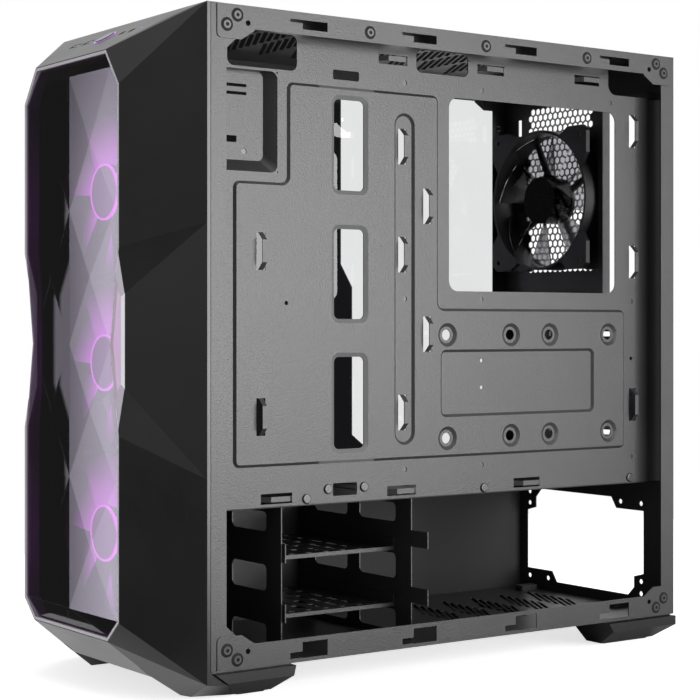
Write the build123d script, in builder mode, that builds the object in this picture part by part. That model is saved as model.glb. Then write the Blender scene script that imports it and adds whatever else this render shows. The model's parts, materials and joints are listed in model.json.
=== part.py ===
"""Mid-tower computer case with a faceted front, as a set of separate pieces.

Millimetres. +X is the right side of the case, -Y its front, +Z up. The origin is on
the ground, in the middle of the footprint.
"""
import os
from math import atan2, cos, degrees, hypot, radians, sin, sqrt

from build123d import *

os.makedirs("parts", exist_ok=True)

# Steel frame
sheet = 0.8
foot_height = 22.0
chassis_top = 468.8
chassis_rear = 238.5
chassis_depth = 432.0
rail_half = 105.8
case_half = 108.5
top_rail_height = 15.5
bottom_rail_height = 16.5
front_pillar_width = 12.0
rear_pillar_width = 13.9
gusset_length = 33.7
gusset_height = 23.2
gusset_slope = 10.2
gusset_set_back = 4.4
gusset_hole_radius = 1.9

# Side panel hooks, rivets and their holes
hook_pitch = 96.1
hook_first = -110.3
hook_width = 20.9
hook_tail = 10.2
rivet_head_radius = 4.7
rivet_head_height = 0.7
rivet_radius = 1.6
rail_rivets = (-63.4, 42.8, 143.8)

# Motherboard tray
tray_face = 87.0
tray_bottom = 127.8
tray_emboss = 1.6
emboss_slope = 2.0
tray_bend_radius = 10.0
board_column = 208.8
board_row = 430.3
board_column_steps = (154.94, 227.33)
board_row_steps = (157.48, 281.94)
standoff_height = 6.5
standoff_flats_radius = 2.9
standoff_tail_radius = 1.9
standoff_tail_recess = 0.5
board_screw_radius = 1.5
ssd_hole_y = 61.72
ssd_hole_z = 76.6
ssd_hole_radius = 4.0
ssd_dimple_radius = 8.8
ssd_dimple_floor = 6.2
tie_width = 7.3
tie_length = 26.0
tie_rise = 5.2
tie_strip_width = 3.6

# Rear panel
pocket_depth = 12.0
io_width = 44.5
io_height = 158.8
slot_first = 266.9
slot_pitch = 20.32
slot_opening = 12.7
slot_count = 7
psu_hole_half = 69.0
psu_hole_low = 33.4
psu_hole_high = 107.4
psu_hole_radius = 2.0
cover_rise = 8.0

# Fans
fan_size = 120.0
fan_depth = 25.0
fan_hole = 105.0
fan_duct_radius = 57.6
fan_tip_radius = 56.4
fan_hub_radius = 20.0
fan_shaft_radius = 1.5
fan_shaft_clearance = 0.05
fan_blades = 7
front_fan_low = 107.0
front_fan_pitch = 120.2
rear_fan_x = -29.7
rear_fan_z = 360.9

# Vents
hex_pitch = 6.4
hex_wall = 1.1
vent_slot_length = 55.0
vent_slot_width = 3.5
vent_turn = -28.0
vent_pitch = 10.0
vent_band = 31.0

# Drive cage
cage_front = -124.9
cage_rear = -10.4
cage_left = -65.0
cage_right = 85.0
drive_tray_heights = (87.0, 45.4)
drive_tray_right = 64.8
drive_tray_gap = 0.5

# Power supply shroud
shroud_wall = -82.0
shroud_top = 127.0

# Front shell and window
shell_wall = 2.5
rim_y = -245.0
rim_top_half = 54.0
rim_half = 72.7
waist_half = 68.0
waist_set_back = 7.8
rim_top = 439.0
shoulder = 414.0
waist_upper = (305.5, 275.5)
waist_lower = (210.0, 179.5)
rim_foot = 55.5
rim_bottom_half = 56.2
rim_bottom = 41.0
shell_half = 106.0
side_band_y = -197.0
side_crease = (322.0, 151.0)
shell_bottom = 14.2
chin_y = -213.5
toe = (75.0, -191.5, 1.0)
trim_width = 2.0
rim_land = 0.6
window_sink = 0.25
window_fall = 0.05
window_end_fall = 1.9
window_thickness = 2.5
window_clearance = 0.1
diamond_half = 30.5
diamond_edge = {4: (59.8, 426.2), 2: (67.3, 332.5), 0: (59.5, 240.5), -2: (67.3, 148.5), -4: (67.3, 56.5)}
diamond_row = 46.0
diamond_sink = 0.14
window_middle = 240.5
clip_half = 98.6
clip_heights = (70.0, 245.0, 420.0)
clip_radius = 2.4
clip_clearance = 0.4
shell_seam = 1.0

# Controls on the sloping top
control_y = -217.5
power_ring_radius = 9.0
power_ring_width = 1.4
power_button_radius = 7.3
usb_x = (-46.0, -26.0)
jack_x = (25.0, 39.0)
lamp_x = 53.0
io_depth = 14.4

# Feet, filter, left panel
foot_inner = 63.0
foot_break = 14.0
foot_neck = 102.0
foot_seam = 1.2
ground_outer = 84.0
ground_inner = 68.0
foot_sole = 1.0
pad_recess = 1.5
filter_half = 58.5
filter_front = 56.0
filter_low = 18.0
filter_thickness = 3.4
filter_clearance = 0.4
panel_gap = 0.8
panel_screw_radius = 1.9
panel_hole_radius = 2.2
roof_filter_half = 80.0
roof_filter_ends = (-158.0, 168.0)
roof_filter_border = 8.0
roof_filter_thickness = 0.8

# Values that follow from the ones above
chassis_front = chassis_rear - chassis_depth
front_inner = chassis_front + sheet
rear_inner = chassis_rear - sheet
floor_top = foot_height + sheet
rail_front = chassis_front + gusset_set_back
rail_rear = chassis_rear - gusset_set_back
roof_bottom = chassis_top - sheet
rail_inner = rail_half - sheet
pillar_half = rail_inner
pillar_inner = pillar_half - sheet
tray_back = tray_face - sheet
plateau_face = tray_face + tray_emboss
pocket_floor = chassis_rear - pocket_depth
hooks = [hook_first + hook_pitch * i for i in range(4)]
columns = [board_column, board_column - board_column_steps[0], board_column - board_column_steps[1]]
rows = [board_row, board_row - board_row_steps[0], board_row - board_row_steps[1]]
board_holes = [(c, r) for r in rows for c in columns]
board_holes[0] = (board_column - 22.86, board_row)
slots = [slot_first - slot_pitch * i for i in range(slot_count)]
front_fans = [front_fan_low + front_fan_pitch * i for i in range(3)]
corner_rivets = [(-181.6, 36.0), (-173.4, 29.0), (226.4, 35.6), (218.0, 28.8)]
corner_rivets += [(y, foot_height + chassis_top - z) for y, z in corner_rivets]
gusset_holes = [(-165.0, 33.8), (210.6, 33.8), (-165.0, 457.0), (210.6, 457.0)]


def at_x(x):
    """Sketch plane square to X, its own axes being Y and Z."""
    return Plane.YZ.offset(x)


def at_y(y):
    """Sketch plane square to Y seen from the front, its own axes being X and Z."""
    return Plane.XZ.offset(-y)


def at_z(z):
    """Level sketch plane."""
    return Plane.XY.offset(z)


def block(x0, x1, y0, y1, z0, z1, mode=Mode.ADD):
    """Box between two corners."""
    with Locations(((x0 + x1) / 2, (y0 + y1) / 2, (z0 + z1) / 2)):
        Box(x1 - x0, y1 - y0, z1 - z0, mode=mode)


def window_hole(y0, y1, z0, z1, radius):
    """Rounded rectangle between two corners, in the running sketch."""
    with Locations(((y0 + y1) / 2, (z0 + z1) / 2)):
        RectangleRounded(y1 - y0, z1 - z0, radius)


def polygon(points):
    """Closed outline filled as a face, in the running sketch."""
    Polygon(*points, align=None)


def inset(points, distance):
    """Outline moved inward by a distance, corner by corner. Corners run clockwise."""
    moved = []
    for i, point in enumerate(points):
        before = points[i - 1]
        after = points[(i + 1) % len(points)]
        d1 = (point[0] - before[0], point[1] - before[1])
        d2 = (after[0] - point[0], after[1] - point[1])
        n1 = (d1[1] / hypot(*d1), -d1[0] / hypot(*d1))
        n2 = (d2[1] / hypot(*d2), -d2[0] / hypot(*d2))
        scale = distance / (1 + n1[0] * n2[0] + n1[1] * n2[1])
        moved.append((point[0] + scale * (n1[0] + n2[0]), point[1] + scale * (n1[1] + n2[1])))
    return moved


def facet(a, b, c):
    """Plane through three corners; they run so that its normal points outward."""
    first, second, third = Vector(*a), Vector(*b), Vector(*c)
    return Plane(origin=first, x_dir=second - first, z_dir=(second - first).cross(third - first))


def save(piece, name):
    """Name a piece and write it to its own file."""
    piece.label = name
    export_step(piece, "parts/" + name + ".step")


def gusset_outline(edge, toward):
    """Lower gusset at the end of a rail, set back from the panel edge, with one corner eased."""
    start = edge + toward * gusset_set_back
    end = edge + toward * gusset_length
    top = foot_height + gusset_height
    return [(start, foot_height), (start, top - 3.0), (start + toward * 0.9, top - 0.9), (start + toward * 3.0, top),
            (end - toward * gusset_slope, top), (end, foot_height + bottom_rail_height), (end, foot_height)]


def upended(outline):
    """The same outline at the top of the frame."""
    return [(y, foot_height + chassis_top - z) for y, z in outline]


# Floor: plate with a rail along each side, air slots and runners for the filter
with BuildPart() as chassis_floor:
    block(-rail_half, rail_half, front_inner, rear_inner, foot_height, floor_top)
    rail_top = foot_height + bottom_rail_height
    for side in (-1, 1):
        with BuildSketch(at_x(side * rail_inner)):
            polygon([(rail_front, foot_height), (rail_front, rail_top), (rail_rear, rail_top), (rail_rear, foot_height)])
            polygon(gusset_outline(chassis_front, 1))
            polygon(gusset_outline(chassis_rear, -1))
        extrude(amount=side * sheet)
    with BuildSketch(at_x(rail_inner - 1)):
        for hook in hooks:
            with Locations((hook, 30.0)):
                Rectangle(hook_width, 10.9)
            with Locations((hook - (hook_width + hook_tail) / 2, 27.0)):
                Rectangle(hook_tail, 4.2)
    extrude(amount=sheet + 2, mode=Mode.SUBTRACT)
    with BuildSketch(at_x(-rail_half - 1)):
        with Locations(*corner_rivets[:4]):
            Circle(rivet_radius)
        with Locations(*gusset_holes[:2]):
            Circle(gusset_hole_radius)
    extrude(amount=2 * rail_half + 2, mode=Mode.SUBTRACT)
    with BuildSketch(at_z(foot_height - 1)):
        with Locations((0, 142.0)):
            with GridLocations(vent_pitch, vent_band, 6, 5):
                Rectangle(vent_slot_length, vent_slot_width, rotation=vent_turn)
    extrude(amount=sheet + 2, mode=Mode.SUBTRACT)
    for side in (-1, 1):
        with BuildSketch(at_y(rear_inner)):
            runner = filter_half + filter_clearance
            lip = filter_low - 0.2
            polygon([(side * runner, foot_height), (side * (runner + 1.5), foot_height),
                     (side * (runner + 1.5), lip - 1.2), (side * (runner - 3.5), lip - 1.2),
                     (side * (runner - 3.5), lip), (side * runner, lip)])
        extrude(amount=rear_inner - filter_front)
save(chassis_floor.part, "chassis_floor")

# Roof: plate with a rail along each side and slanting air slots
with BuildPart() as chassis_roof:
    block(-rail_half, rail_half, front_inner, rear_inner, roof_bottom, chassis_top)
    rail_low = chassis_top - top_rail_height
    for side in (-1, 1):
        with BuildSketch(at_x(side * rail_inner)):
            polygon([(rail_front, rail_low), (rail_front, chassis_top), (rail_rear, chassis_top), (rail_rear, rail_low)])
            polygon(upended(gusset_outline(chassis_front, 1)))
            polygon(upended(gusset_outline(chassis_rear, -1)))
        extrude(amount=side * sheet)
    with BuildSketch(at_x(rail_inner - 1)):
        for hook in hooks:
            with Locations((hook, 460.3)):
                Rectangle(hook_width, 6.4)
            with Locations((hook - (hook_width + hook_tail) / 2, 462.4)):
                Rectangle(hook_tail, 2.2)
    extrude(amount=sheet + 2, mode=Mode.SUBTRACT)
    with BuildSketch(at_x(-rail_half - 1)):
        with Locations(*corner_rivets[4:]):
            Circle(rivet_radius)
        with Locations(*[(y, 460.3) for y in rail_rivets]):
            Circle(rivet_radius)
        with Locations(*gusset_holes[2:]):
            Circle(gusset_hole_radius)
    extrude(amount=2 * rail_half + 2, mode=Mode.SUBTRACT)
    with BuildSketch(at_z(roof_bottom - 1)):
        with Locations((0, 5.0)):
            with GridLocations(vent_pitch, vent_band, 10, 9):
                Rectangle(vent_slot_length, vent_slot_width, rotation=vent_turn)
    extrude(amount=sheet + 2, mode=Mode.SUBTRACT)
save(chassis_roof.part, "chassis_roof")


def pillar_outline(edge, width, toward, flare):
    """Side pillar with a lap behind the gusset at each end, flared above the gusset by a height."""
    inner = edge + toward * width
    lap = edge + toward * (gusset_length - gusset_slope - 0.5)
    top = foot_height + gusset_height
    low = [(edge, floor_top), (lap, floor_top), (lap, top - 3.0), (lap - toward * 4.3, top + 0.5 if flare else top - 3.0),
           (inner, top + flare if flare else top - 3.0)]
    return low + upended(reversed(low))


# Front wall: plate with three fan openings, pillars and gussets
with BuildPart() as front_wall:
    block(-pillar_half, pillar_half, chassis_front, front_inner, foot_height, chassis_top)
    for side in (-1, 1):
        with BuildSketch(at_x(side * pillar_inner)):
            polygon(pillar_outline(chassis_front, front_pillar_width, 1, 6.5))
        extrude(amount=side * sheet)
    with BuildSketch(at_y(chassis_front - 1)):
        for height in front_fans:
            with Locations((0, height)):
                Circle(fan_duct_radius - 1)
            for dx in (-fan_hole / 2, fan_hole / 2):
                with Locations((dx, height - fan_hole / 2), (dx, height + fan_hole / 2)):
                    Circle(2.0)
        for height in clip_heights:
            with Locations((-clip_half, height), (clip_half, height)):
                Circle(clip_radius + clip_clearance)
    extrude(amount=-(sheet + 2), mode=Mode.SUBTRACT)
    with BuildSketch(at_x(-pillar_half - 1)):
        with Locations(*[p for p in corner_rivets if p[0] < 0]):
            Circle(rivet_radius)
    extrude(amount=2 * pillar_half + 2, mode=Mode.SUBTRACT)
    with BuildSketch(at_x(-pillar_half - 1)):
        with Locations((chassis_front + 6, 60.0), (chassis_front + 6, 430.0)):
            Circle(panel_hole_radius)
    extrude(amount=3, mode=Mode.SUBTRACT)
save(front_wall.part, "front_wall")

hex_row = hex_pitch * sqrt(3) / 2
hex_corner = (hex_pitch - hex_wall) / sqrt(3)
hexagon = [(hex_corner * sin(radians(60 * i)), hex_corner * cos(radians(60 * i))) for i in range(6)]

# Rear panel: plate with pillars, a stepped-in field for the board ports and the slots
board_field = [(86.0, 131.0), (-42.8, 131.0), (-42.8, 278.0), (30.7, 278.0), (30.7, 442.0), (86.0, 442.0)]
with BuildPart() as rear_panel:
    block(-pillar_half, pillar_half, rear_inner, chassis_rear, foot_height, chassis_top)
    for side in (-1, 1):
        with BuildSketch(at_x(side * pillar_inner)):
            polygon(pillar_outline(chassis_rear, rear_pillar_width, -1, 0))
        extrude(amount=side * sheet)
    with BuildSketch(at_y(chassis_rear)):
        polygon(board_field)
    extrude(amount=pocket_depth + sheet)
    with BuildSketch(at_y(chassis_rear)):
        polygon(inset(board_field, sheet))
    extrude(amount=pocket_depth, mode=Mode.SUBTRACT)
    with BuildSketch(at_y(pocket_floor + 1)):
        window_hole(36.5, 36.5 + io_width, 279.5, 279.5 + io_height, 1.0)
        for height in slots:
            with Locations(((-42.8 + sheet + 80.0) / 2, height)):
                Rectangle(80.0 + 42.8 - sheet, slot_opening)
    extrude(amount=sheet + 2, mode=Mode.SUBTRACT)
    with BuildSketch(at_y(chassis_rear + 1)):
        for shift, count in ((-0.5, 13), (0.5, 12)):
            with Locations((rear_fan_x, rear_fan_z + 11 + shift * hex_row)):
                with GridLocations(hex_pitch, 2 * hex_row, count, 13):
                    Polygon(*hexagon, align=None)
        for dx in (-fan_hole / 2, fan_hole / 2):
            for dz in (-fan_hole / 2, fan_hole / 2):
                with Locations((rear_fan_x + dx, rear_fan_z + dz + 10)):
                    Rectangle(4.4, 25.0)
        polygon([(-72, 91), (-61, 94), (-61, 103), (-54, 110.5), (34, 110.5), (40, 101.5), (72, 101.5),
                 (72, 50), (61, 47), (61, 38), (54, 31), (-34, 31), (-40, 40), (-72, 40)])
        for x, z in ((-1, 1), (1, 1), (-1, -1), (1, -1)):
            with Locations((x * psu_hole_half, psu_hole_high if z > 0 else psu_hole_low)):
                Circle(psu_hole_radius)
        with Locations((-psu_hole_half, psu_hole_high - 10), (psu_hole_half, psu_hole_low + 10),
                       (psu_hole_half - 24, psu_hole_high), (24 - psu_hole_half, psu_hole_low)):
            Circle(psu_hole_radius)
        with Locations((-73.0, 205.0)):
            Circle(panel_screw_radius)
    extrude(amount=sheet + 2, mode=Mode.SUBTRACT)
    with BuildSketch(at_x(-42.8 - 1)):
        with Locations(*[(pocket_floor + 6, height) for height in slots]):
            Circle(rivet_radius)
    extrude(amount=sheet + 2, mode=Mode.SUBTRACT)
    with BuildSketch(at_x(-pillar_half - 1)):
        with Locations(*[p for p in corner_rivets if p[0] > 0]):
            Circle(rivet_radius)
    extrude(amount=2 * pillar_half + 2, mode=Mode.SUBTRACT)
    with BuildSketch(at_x(-pillar_half - 1)):
        with Locations((chassis_rear - 7, 60.0), (chassis_rear - 7, 430.0)):
            Circle(panel_hole_radius)
    extrude(amount=3, mode=Mode.SUBTRACT)
save(rear_panel.part, "rear_panel")

# Motherboard tray
field = [(-121.5, 423.0), (12.0, 423.0), (12.0, 266.0), (201.0, 266.0), (201.0, 155.7),
         (-165.5, 155.7), (-165.5, 352.5), (-121.5, 352.5)]
cable_holes = [(349.5, 414.0), (258.0, 322.0), (165.5, 231.0)]
dimples = [(y + dy, 169.8 + dz) for y in (20.0, 121.0) for dy in (0, ssd_hole_y) for dz in (0, ssd_hole_z)]
bead_ties = [(-20.9, 383.7), (-20.9, 305.0), (-20.9, 190.0)]
field_ties = [(0.9, 341.0), (0.9, 247.0), (-143.8, 304.6), (-143.8, 190.3)]
plain_ties = [(210.4, 409.3), (210.4, 304.5), (210.4, 190.0)]
level_ties = [(-29.2, 446.3), (62.9, 446.3), (161.0, 446.3), (-129.9, 133.2), (-21.5, 133.2), (98.5, 133.2)]
bead_middle = (-19.8, 287.2)
bead_length = 241.5
bead_width = 18.5
sink_middle = (90.3, 210.5)
sink_length = 153.5
sink_height = 50.0
tray_screws_at = [(-104.9, 131.6), (56.3, 131.2), (207.4, 131.6), (-86.6, 137.6), (-55.2, 137.6)]


def tie_strip(face):
    """Side view of a raised tie loop, across the sheet and along the loop."""
    half = tie_length / 2
    top = face + tie_rise
    return [(face - sheet, half), (face, half), (top, half - tie_rise), (top, tie_rise - half),
            (face, -half), (face - sheet, -half), (top - sheet, tie_rise - half), (top - sheet, half - tie_rise)]


with BuildPart() as motherboard_tray:
    block(tray_back, tray_face, front_inner, chassis_rear - 11.6, tray_bottom, roof_bottom - sheet)
    block(tray_back, pillar_inner, front_inner, front_inner + sheet, tray_bottom, roof_bottom - sheet)
    block(tray_back, pillar_inner, front_inner, chassis_rear - 50, roof_bottom - sheet, roof_bottom)
    with BuildSketch(at_y(front_inner - 1)):
        with Locations(*[(clip_half, height) for height in clip_heights]):
            Circle(clip_radius + clip_clearance)
    extrude(amount=-(sheet + 2), mode=Mode.SUBTRACT)
    with BuildSketch(at_z(tray_bottom)):
        bend = tray_bend_radius
        with BuildLine():
            start = Line((tray_face, chassis_rear - 11.6), (tray_back, chassis_rear - 11.6))
            outer = RadiusArc(start @ 1, (tray_face + bend, rear_inner), bend + sheet)
            tip = Line(outer @ 1, (pillar_inner, rear_inner))
            edge = Line(tip @ 1, (pillar_inner, rear_inner - sheet))
            back = Line(edge @ 1, (tray_face + bend, rear_inner - sheet))
            RadiusArc(back @ 1, start @ 0, -bend)
        make_face()
    extrude(amount=436.0 - tray_bottom)
    # raised field, pressed out of the sheet, with its back hollowed to keep the sheet even
    with BuildSketch(at_x(tray_face)) as raised:
        polygon(field)
        fillet(raised.vertices(), 5.0)
    extrude(amount=tray_emboss, taper=degrees(atan2(emboss_slope, tray_emboss)))
    with BuildSketch(at_x(tray_back)) as hollow:
        polygon(inset(field, emboss_slope + sheet))
        fillet(hollow.vertices(), 4.0)
        with Locations(*dimples):
            Circle(ssd_dimple_radius + sheet, mode=Mode.SUBTRACT)
        for low, high in cable_holes:
            with Locations((-68.5, (low + high) / 2)):
                RectangleRounded(36.0, high - low + 9, 8.0, mode=Mode.SUBTRACT)
        with Locations(bead_middle):
            SlotOverall(bead_length + 2 * sheet, bead_width + 2 * sheet, rotation=90, mode=Mode.SUBTRACT)
        with Locations(sink_middle):
            RectangleRounded(sink_length + 2 * sheet, sink_height + 2 * sheet, 5.0, mode=Mode.SUBTRACT)
    extrude(amount=tray_emboss, mode=Mode.SUBTRACT)
    # sunk bead and sunk rectangle with sloping sides
    with BuildSketch(at_x(plateau_face)):
        with Locations(bead_middle):
            SlotOverall(bead_length, bead_width, rotation=90)
    with BuildSketch(at_x(tray_face)):
        with Locations(bead_middle):
            SlotOverall(bead_length - 2 * emboss_slope, bead_width - 2 * emboss_slope, rotation=90)
    loft(mode=Mode.SUBTRACT)
    with BuildSketch(at_x(plateau_face)):
        with Locations(sink_middle):
            RectangleRounded(sink_length, sink_height, 5.0)
    with BuildSketch(at_x(tray_face)):
        with Locations(sink_middle):
            RectangleRounded(sink_length - 2 * emboss_slope, sink_height - 2 * emboss_slope, 3.0)
    loft(mode=Mode.SUBTRACT)
    # cable holes with bevelled rims
    for low, high in cable_holes:
        with BuildSketch(at_x(plateau_face)):
            window_hole(-84.5, -52.5, low - 3, high + 3, 6.5)
        with BuildSketch(at_x(tray_face)):
            window_hole(-81.5, -55.5, low, high, 4.0)
        loft(mode=Mode.SUBTRACT)
        with BuildSketch(at_x(tray_back - 1)):
            window_hole(-81.5, -55.5, low, high, 4.0)
        extrude(amount=3, mode=Mode.SUBTRACT)
    # dimples for small drives, coned with a hole through
    for y, z in dimples:
        with BuildSketch(at_x(plateau_face)):
            with Locations((y, z)):
                Circle(ssd_dimple_radius)
        with BuildSketch(at_x(tray_face)):
            with Locations((y, z)):
                Circle(ssd_dimple_floor)
        loft(mode=Mode.SUBTRACT)
    with BuildSketch(at_x(tray_back - 1)):
        with Locations(*dimples):
            Circle(ssd_hole_radius)
        with Locations(*board_holes):
            Circle(standoff_tail_radius)
        with Locations((columns[1], 227.1), (columns[0], 227.1), (columns[1], 206.8), (-122.9, 269.0)):
            Circle(board_screw_radius)
        with Locations(*tray_screws_at):
            Circle(board_screw_radius)
        window_hole(22.6, 191.4, 279.0, 423.0, 8.0)
        window_hole(-82.3, -61.4, 132.4, 141.4, 1.0)
        window_hole(-170.0, -113.0, 431.0, 456.0, 5.0)
        window_hole(-8.0, 41.0, 439.0, 456.0, 5.0)
        window_hole(184.0, 240.0, 437.0, 476.0, 8.0)
        window_hole(-82.3, -59.6, 428.0, 435.0, 1.5)
        for y, z in bead_ties + field_ties + plain_ties:
            with Locations((y, z)):
                Rectangle(tie_width, tie_length)
        for y, z in level_ties:
            with Locations((y, z)):
                Rectangle(tie_length, tie_width)
    extrude(amount=plateau_face - tray_back + 2, mode=Mode.SUBTRACT)
    # sunk corner beside the front wall
    block(tray_back - 1, tray_face + 1, -185.0, -129.0, 359.0, 429.0, mode=Mode.SUBTRACT)
    with BuildSketch(at_x(tray_face)):
        window_hole(-186.5, -128.0, 358.0, 430.0, 6.0)
    with BuildSketch(at_x(tray_face - 9)):
        window_hole(-186.5, -135.0, 366.5, 430.0, 5.0)
    loft()
    with BuildSketch(at_x(tray_face)):
        window_hole(-185.5, -129.2, 359.2, 429.2, 5.5)
    with BuildSketch(at_x(tray_face - 8.2)):
        window_hole(-185.5, -136.0, 367.5, 429.2, 4.5)
    loft(mode=Mode.SUBTRACT)
    with BuildSketch(at_x(tray_face - 10)):
        for z in (413.5, 419.0):
            with Locations((-160.5, z)):
                Rectangle(22.0, 2.2)
        with Locations((-164.0, 381.8)):
            Rectangle(13.0, 4.6)
        with Locations((-151.5, 373.5)):
            Circle(2.2)
    extrude(amount=3, mode=Mode.SUBTRACT)
    # raised tie loops
    for face, places in ((tray_face, bead_ties), (plateau_face, field_ties), (tray_face, plain_ties)):
        for y, z in places:
            with BuildSketch(at_y(y + tie_strip_width / 2)):
                polygon([(x, z + along) for x, along in tie_strip(face)])
            extrude(amount=tie_strip_width)
    for y, z in level_ties:
        with BuildSketch(at_z(z - tie_strip_width / 2)):
            polygon([(x, y + along) for x, along in tie_strip(tray_face)])
        extrude(amount=tie_strip_width)
save(motherboard_tray.part, "motherboard_tray")

# Standoffs for the motherboard, a hexagon with a threaded tail each
with BuildPart() as motherboard_standoffs:
    with BuildSketch(at_x(tray_back)):
        with Locations(*board_holes):
            RegularPolygon(standoff_flats_radius, 6)
            Circle(1.2, mode=Mode.SUBTRACT)
    extrude(amount=-standoff_height)
    with BuildSketch(at_x(tray_back - 2)):
        with Locations(*board_holes):
            Circle(standoff_tail_radius)
    extrude(amount=2 + sheet - standoff_tail_recess)
save(motherboard_standoffs.part, "motherboard_standoffs")

# Screws through the lower edge of the tray into the shroud
with BuildPart() as tray_screws:
    with BuildSketch(at_x(tray_face)):
        with Locations(*tray_screws_at):
            Circle(3.0)
    extrude(amount=1.4)
    with BuildSketch(at_x(tray_back - 4)):
        with Locations(*tray_screws_at):
            Circle(board_screw_radius)
    extrude(amount=4 + sheet)
    with BuildSketch(at_x(tray_face + 0.7)):
        with Locations(*tray_screws_at):
            Rectangle(3.6, 0.9)
            Rectangle(0.9, 3.6)
    extrude(amount=1, mode=Mode.SUBTRACT)
save(tray_screws.part, "tray_screws")

# Shroud over the power supply, with ears behind the tray and cable openings
with BuildPart() as psu_shroud:
    block(shroud_wall - sheet, tray_face, front_inner, rear_inner, shroud_top, tray_bottom)
    block(shroud_wall - sheet, shroud_wall, front_inner, rear_inner, floor_top, shroud_top)
    for y0, y1 in ((-111, -97.5), (-92, -83.2), (-60.5, -49), (48, 64), (199, 216)):
        block(tray_back - sheet, tray_back, y0, y1, tray_bottom, 141.5)
    with BuildSketch(at_x(tray_back - sheet - 1)):
        with Locations(*tray_screws_at):
            Circle(board_screw_radius)
    extrude(amount=sheet + 1, mode=Mode.SUBTRACT)
    with BuildSketch(at_z(shroud_top - 1)):
        for y in (-150.0, -20.0, 110.0):
            with Locations((62.0, y)):
                RectangleRounded(24.0, 46.0, 4.0)
        for row in range(6):
            with Locations((-20.0, -10.0 + 26.0 * row)):
                Rectangle(70.0, 5.0)
    extrude(amount=sheet + 2, mode=Mode.SUBTRACT)
save(psu_shroud.part, "psu_shroud")

# Drive cage: two windowed walls, a back wall, and ledges for two trays
with BuildPart() as drive_cage:
    block(cage_left, cage_right, cage_front, cage_front + sheet, floor_top, shroud_top)
    block(cage_left, cage_right, cage_rear - sheet, cage_rear, floor_top, shroud_top)
    block(cage_left, cage_left + sheet, cage_front, cage_rear, floor_top, shroud_top)
    for z0, z1 in ((91.5, 103.5), (50.3, 62.0)):
        block(cage_right, rail_inner - 0.4, cage_rear - sheet, cage_rear, z0, z1)
    with BuildSketch(at_y(cage_rear + 1)):
        for x0, x1 in ((20.0, 66.0), (-40.0, 4.0)):
            for z0, z1 in ((27.5, 43.0), (66.0, 84.5), (108.0, 122.0)):
                window_hole(x0, x1, z0, z1, 4.0)
    extrude(amount=cage_rear - cage_front + 2, mode=Mode.SUBTRACT)
    for height in drive_tray_heights:
        block(cage_left + sheet, 60.0, cage_front + sheet, cage_front + 6, height - 1.0, height - 0.2)
        block(cage_left + sheet, 60.0, cage_rear - 6, cage_rear - sheet, height - 1.0, height - 0.2)
save(drive_cage.part, "drive_cage")

# Drive trays: perforated plate with a turned-up edge all round and a pull ear
for name, height in zip(("drive_tray_upper", "drive_tray_lower"), drive_tray_heights):
    with BuildPart() as drive_tray:
        y0 = cage_front + sheet + drive_tray_gap
        y1 = cage_rear - sheet - drive_tray_gap
        x0 = cage_left + sheet + 4
        block(x0, drive_tray_right, y0, y1, height, height + sheet)
        block(drive_tray_right - sheet, drive_tray_right, y0, y1, height, height + 2.8)
        block(x0, drive_tray_right, y0, y0 + sheet, height, height + 9.0)
        block(x0, drive_tray_right, y1 - sheet, y1, height, height + 9.0)
        block(drive_tray_right - 2, 88.0, y0, y0 + sheet, height + 1.0, height + 14.0)
        with BuildSketch(at_z(height - 1)):
            with Locations((2.0, (y0 + y1) / 2)):
                with GridLocations(20.0, 15.0, 6, 6):
                    Rectangle(13.0, 6.0)
        extrude(amount=sheet + 2, mode=Mode.SUBTRACT)
    save(drive_tray.part, name)

# Rivets of the frame, on both sides
rivet_places = [(side, y, z) for side in (-1, 1) for y, z in corner_rivets + [(y, 460.3) for y in rail_rivets]]
with BuildPart() as chassis_rivets:
    for side, y, z in rivet_places:
        with BuildSketch(at_x(side * rail_half)):
            with Locations((y, z)):
                Circle(rivet_head_radius)
        extrude(amount=side * rivet_head_height)
        with BuildSketch(at_x(side * (rail_inner - 1.5))):
            with Locations((y, z)):
                Circle(rivet_radius)
        extrude(amount=side * (sheet + 1.5))
save(chassis_rivets.part, "chassis_rivets")

# Expansion slot covers, each with a tab turned out of the case
for number, height in enumerate(slots, start=1):
    with BuildPart() as slot_cover:
        tab = -42.8 + sheet
        block(tab, 84.0, pocket_floor - 2 * sheet, pocket_floor - sheet, height - 9.4, height + 9.4)
        block(tab, tab + sheet, pocket_floor - sheet, chassis_rear - 1.5, height - 5.9, height + 5.9)
        with BuildSketch(at_x(tab - 1)):
            with Locations((pocket_floor + 6, height)):
                Circle(rivet_radius)
        extrude(amount=sheet + 2, mode=Mode.SUBTRACT)
        with BuildSketch(at_y(pocket_floor)):
            with Locations((-8.0, height), (46.0, height)):
                Rectangle(42.0, 4.0)
        extrude(amount=2 * sheet + 1, mode=Mode.SUBTRACT)
    save(slot_cover.part, "slot_cover_" + str(number))

with BuildPart() as slot_screws:
    head = -42.8 + 2 * sheet
    for height in slots:
        with BuildSketch(at_x(head)):
            with Locations((pocket_floor + 6, height)):
                Circle(3.0)
        extrude(amount=2.0)
        with BuildSketch(at_x(head - 5)):
            with Locations((pocket_floor + 6, height)):
                Circle(rivet_radius)
        extrude(amount=5)
save(slot_screws.part, "slot_screws")

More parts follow.
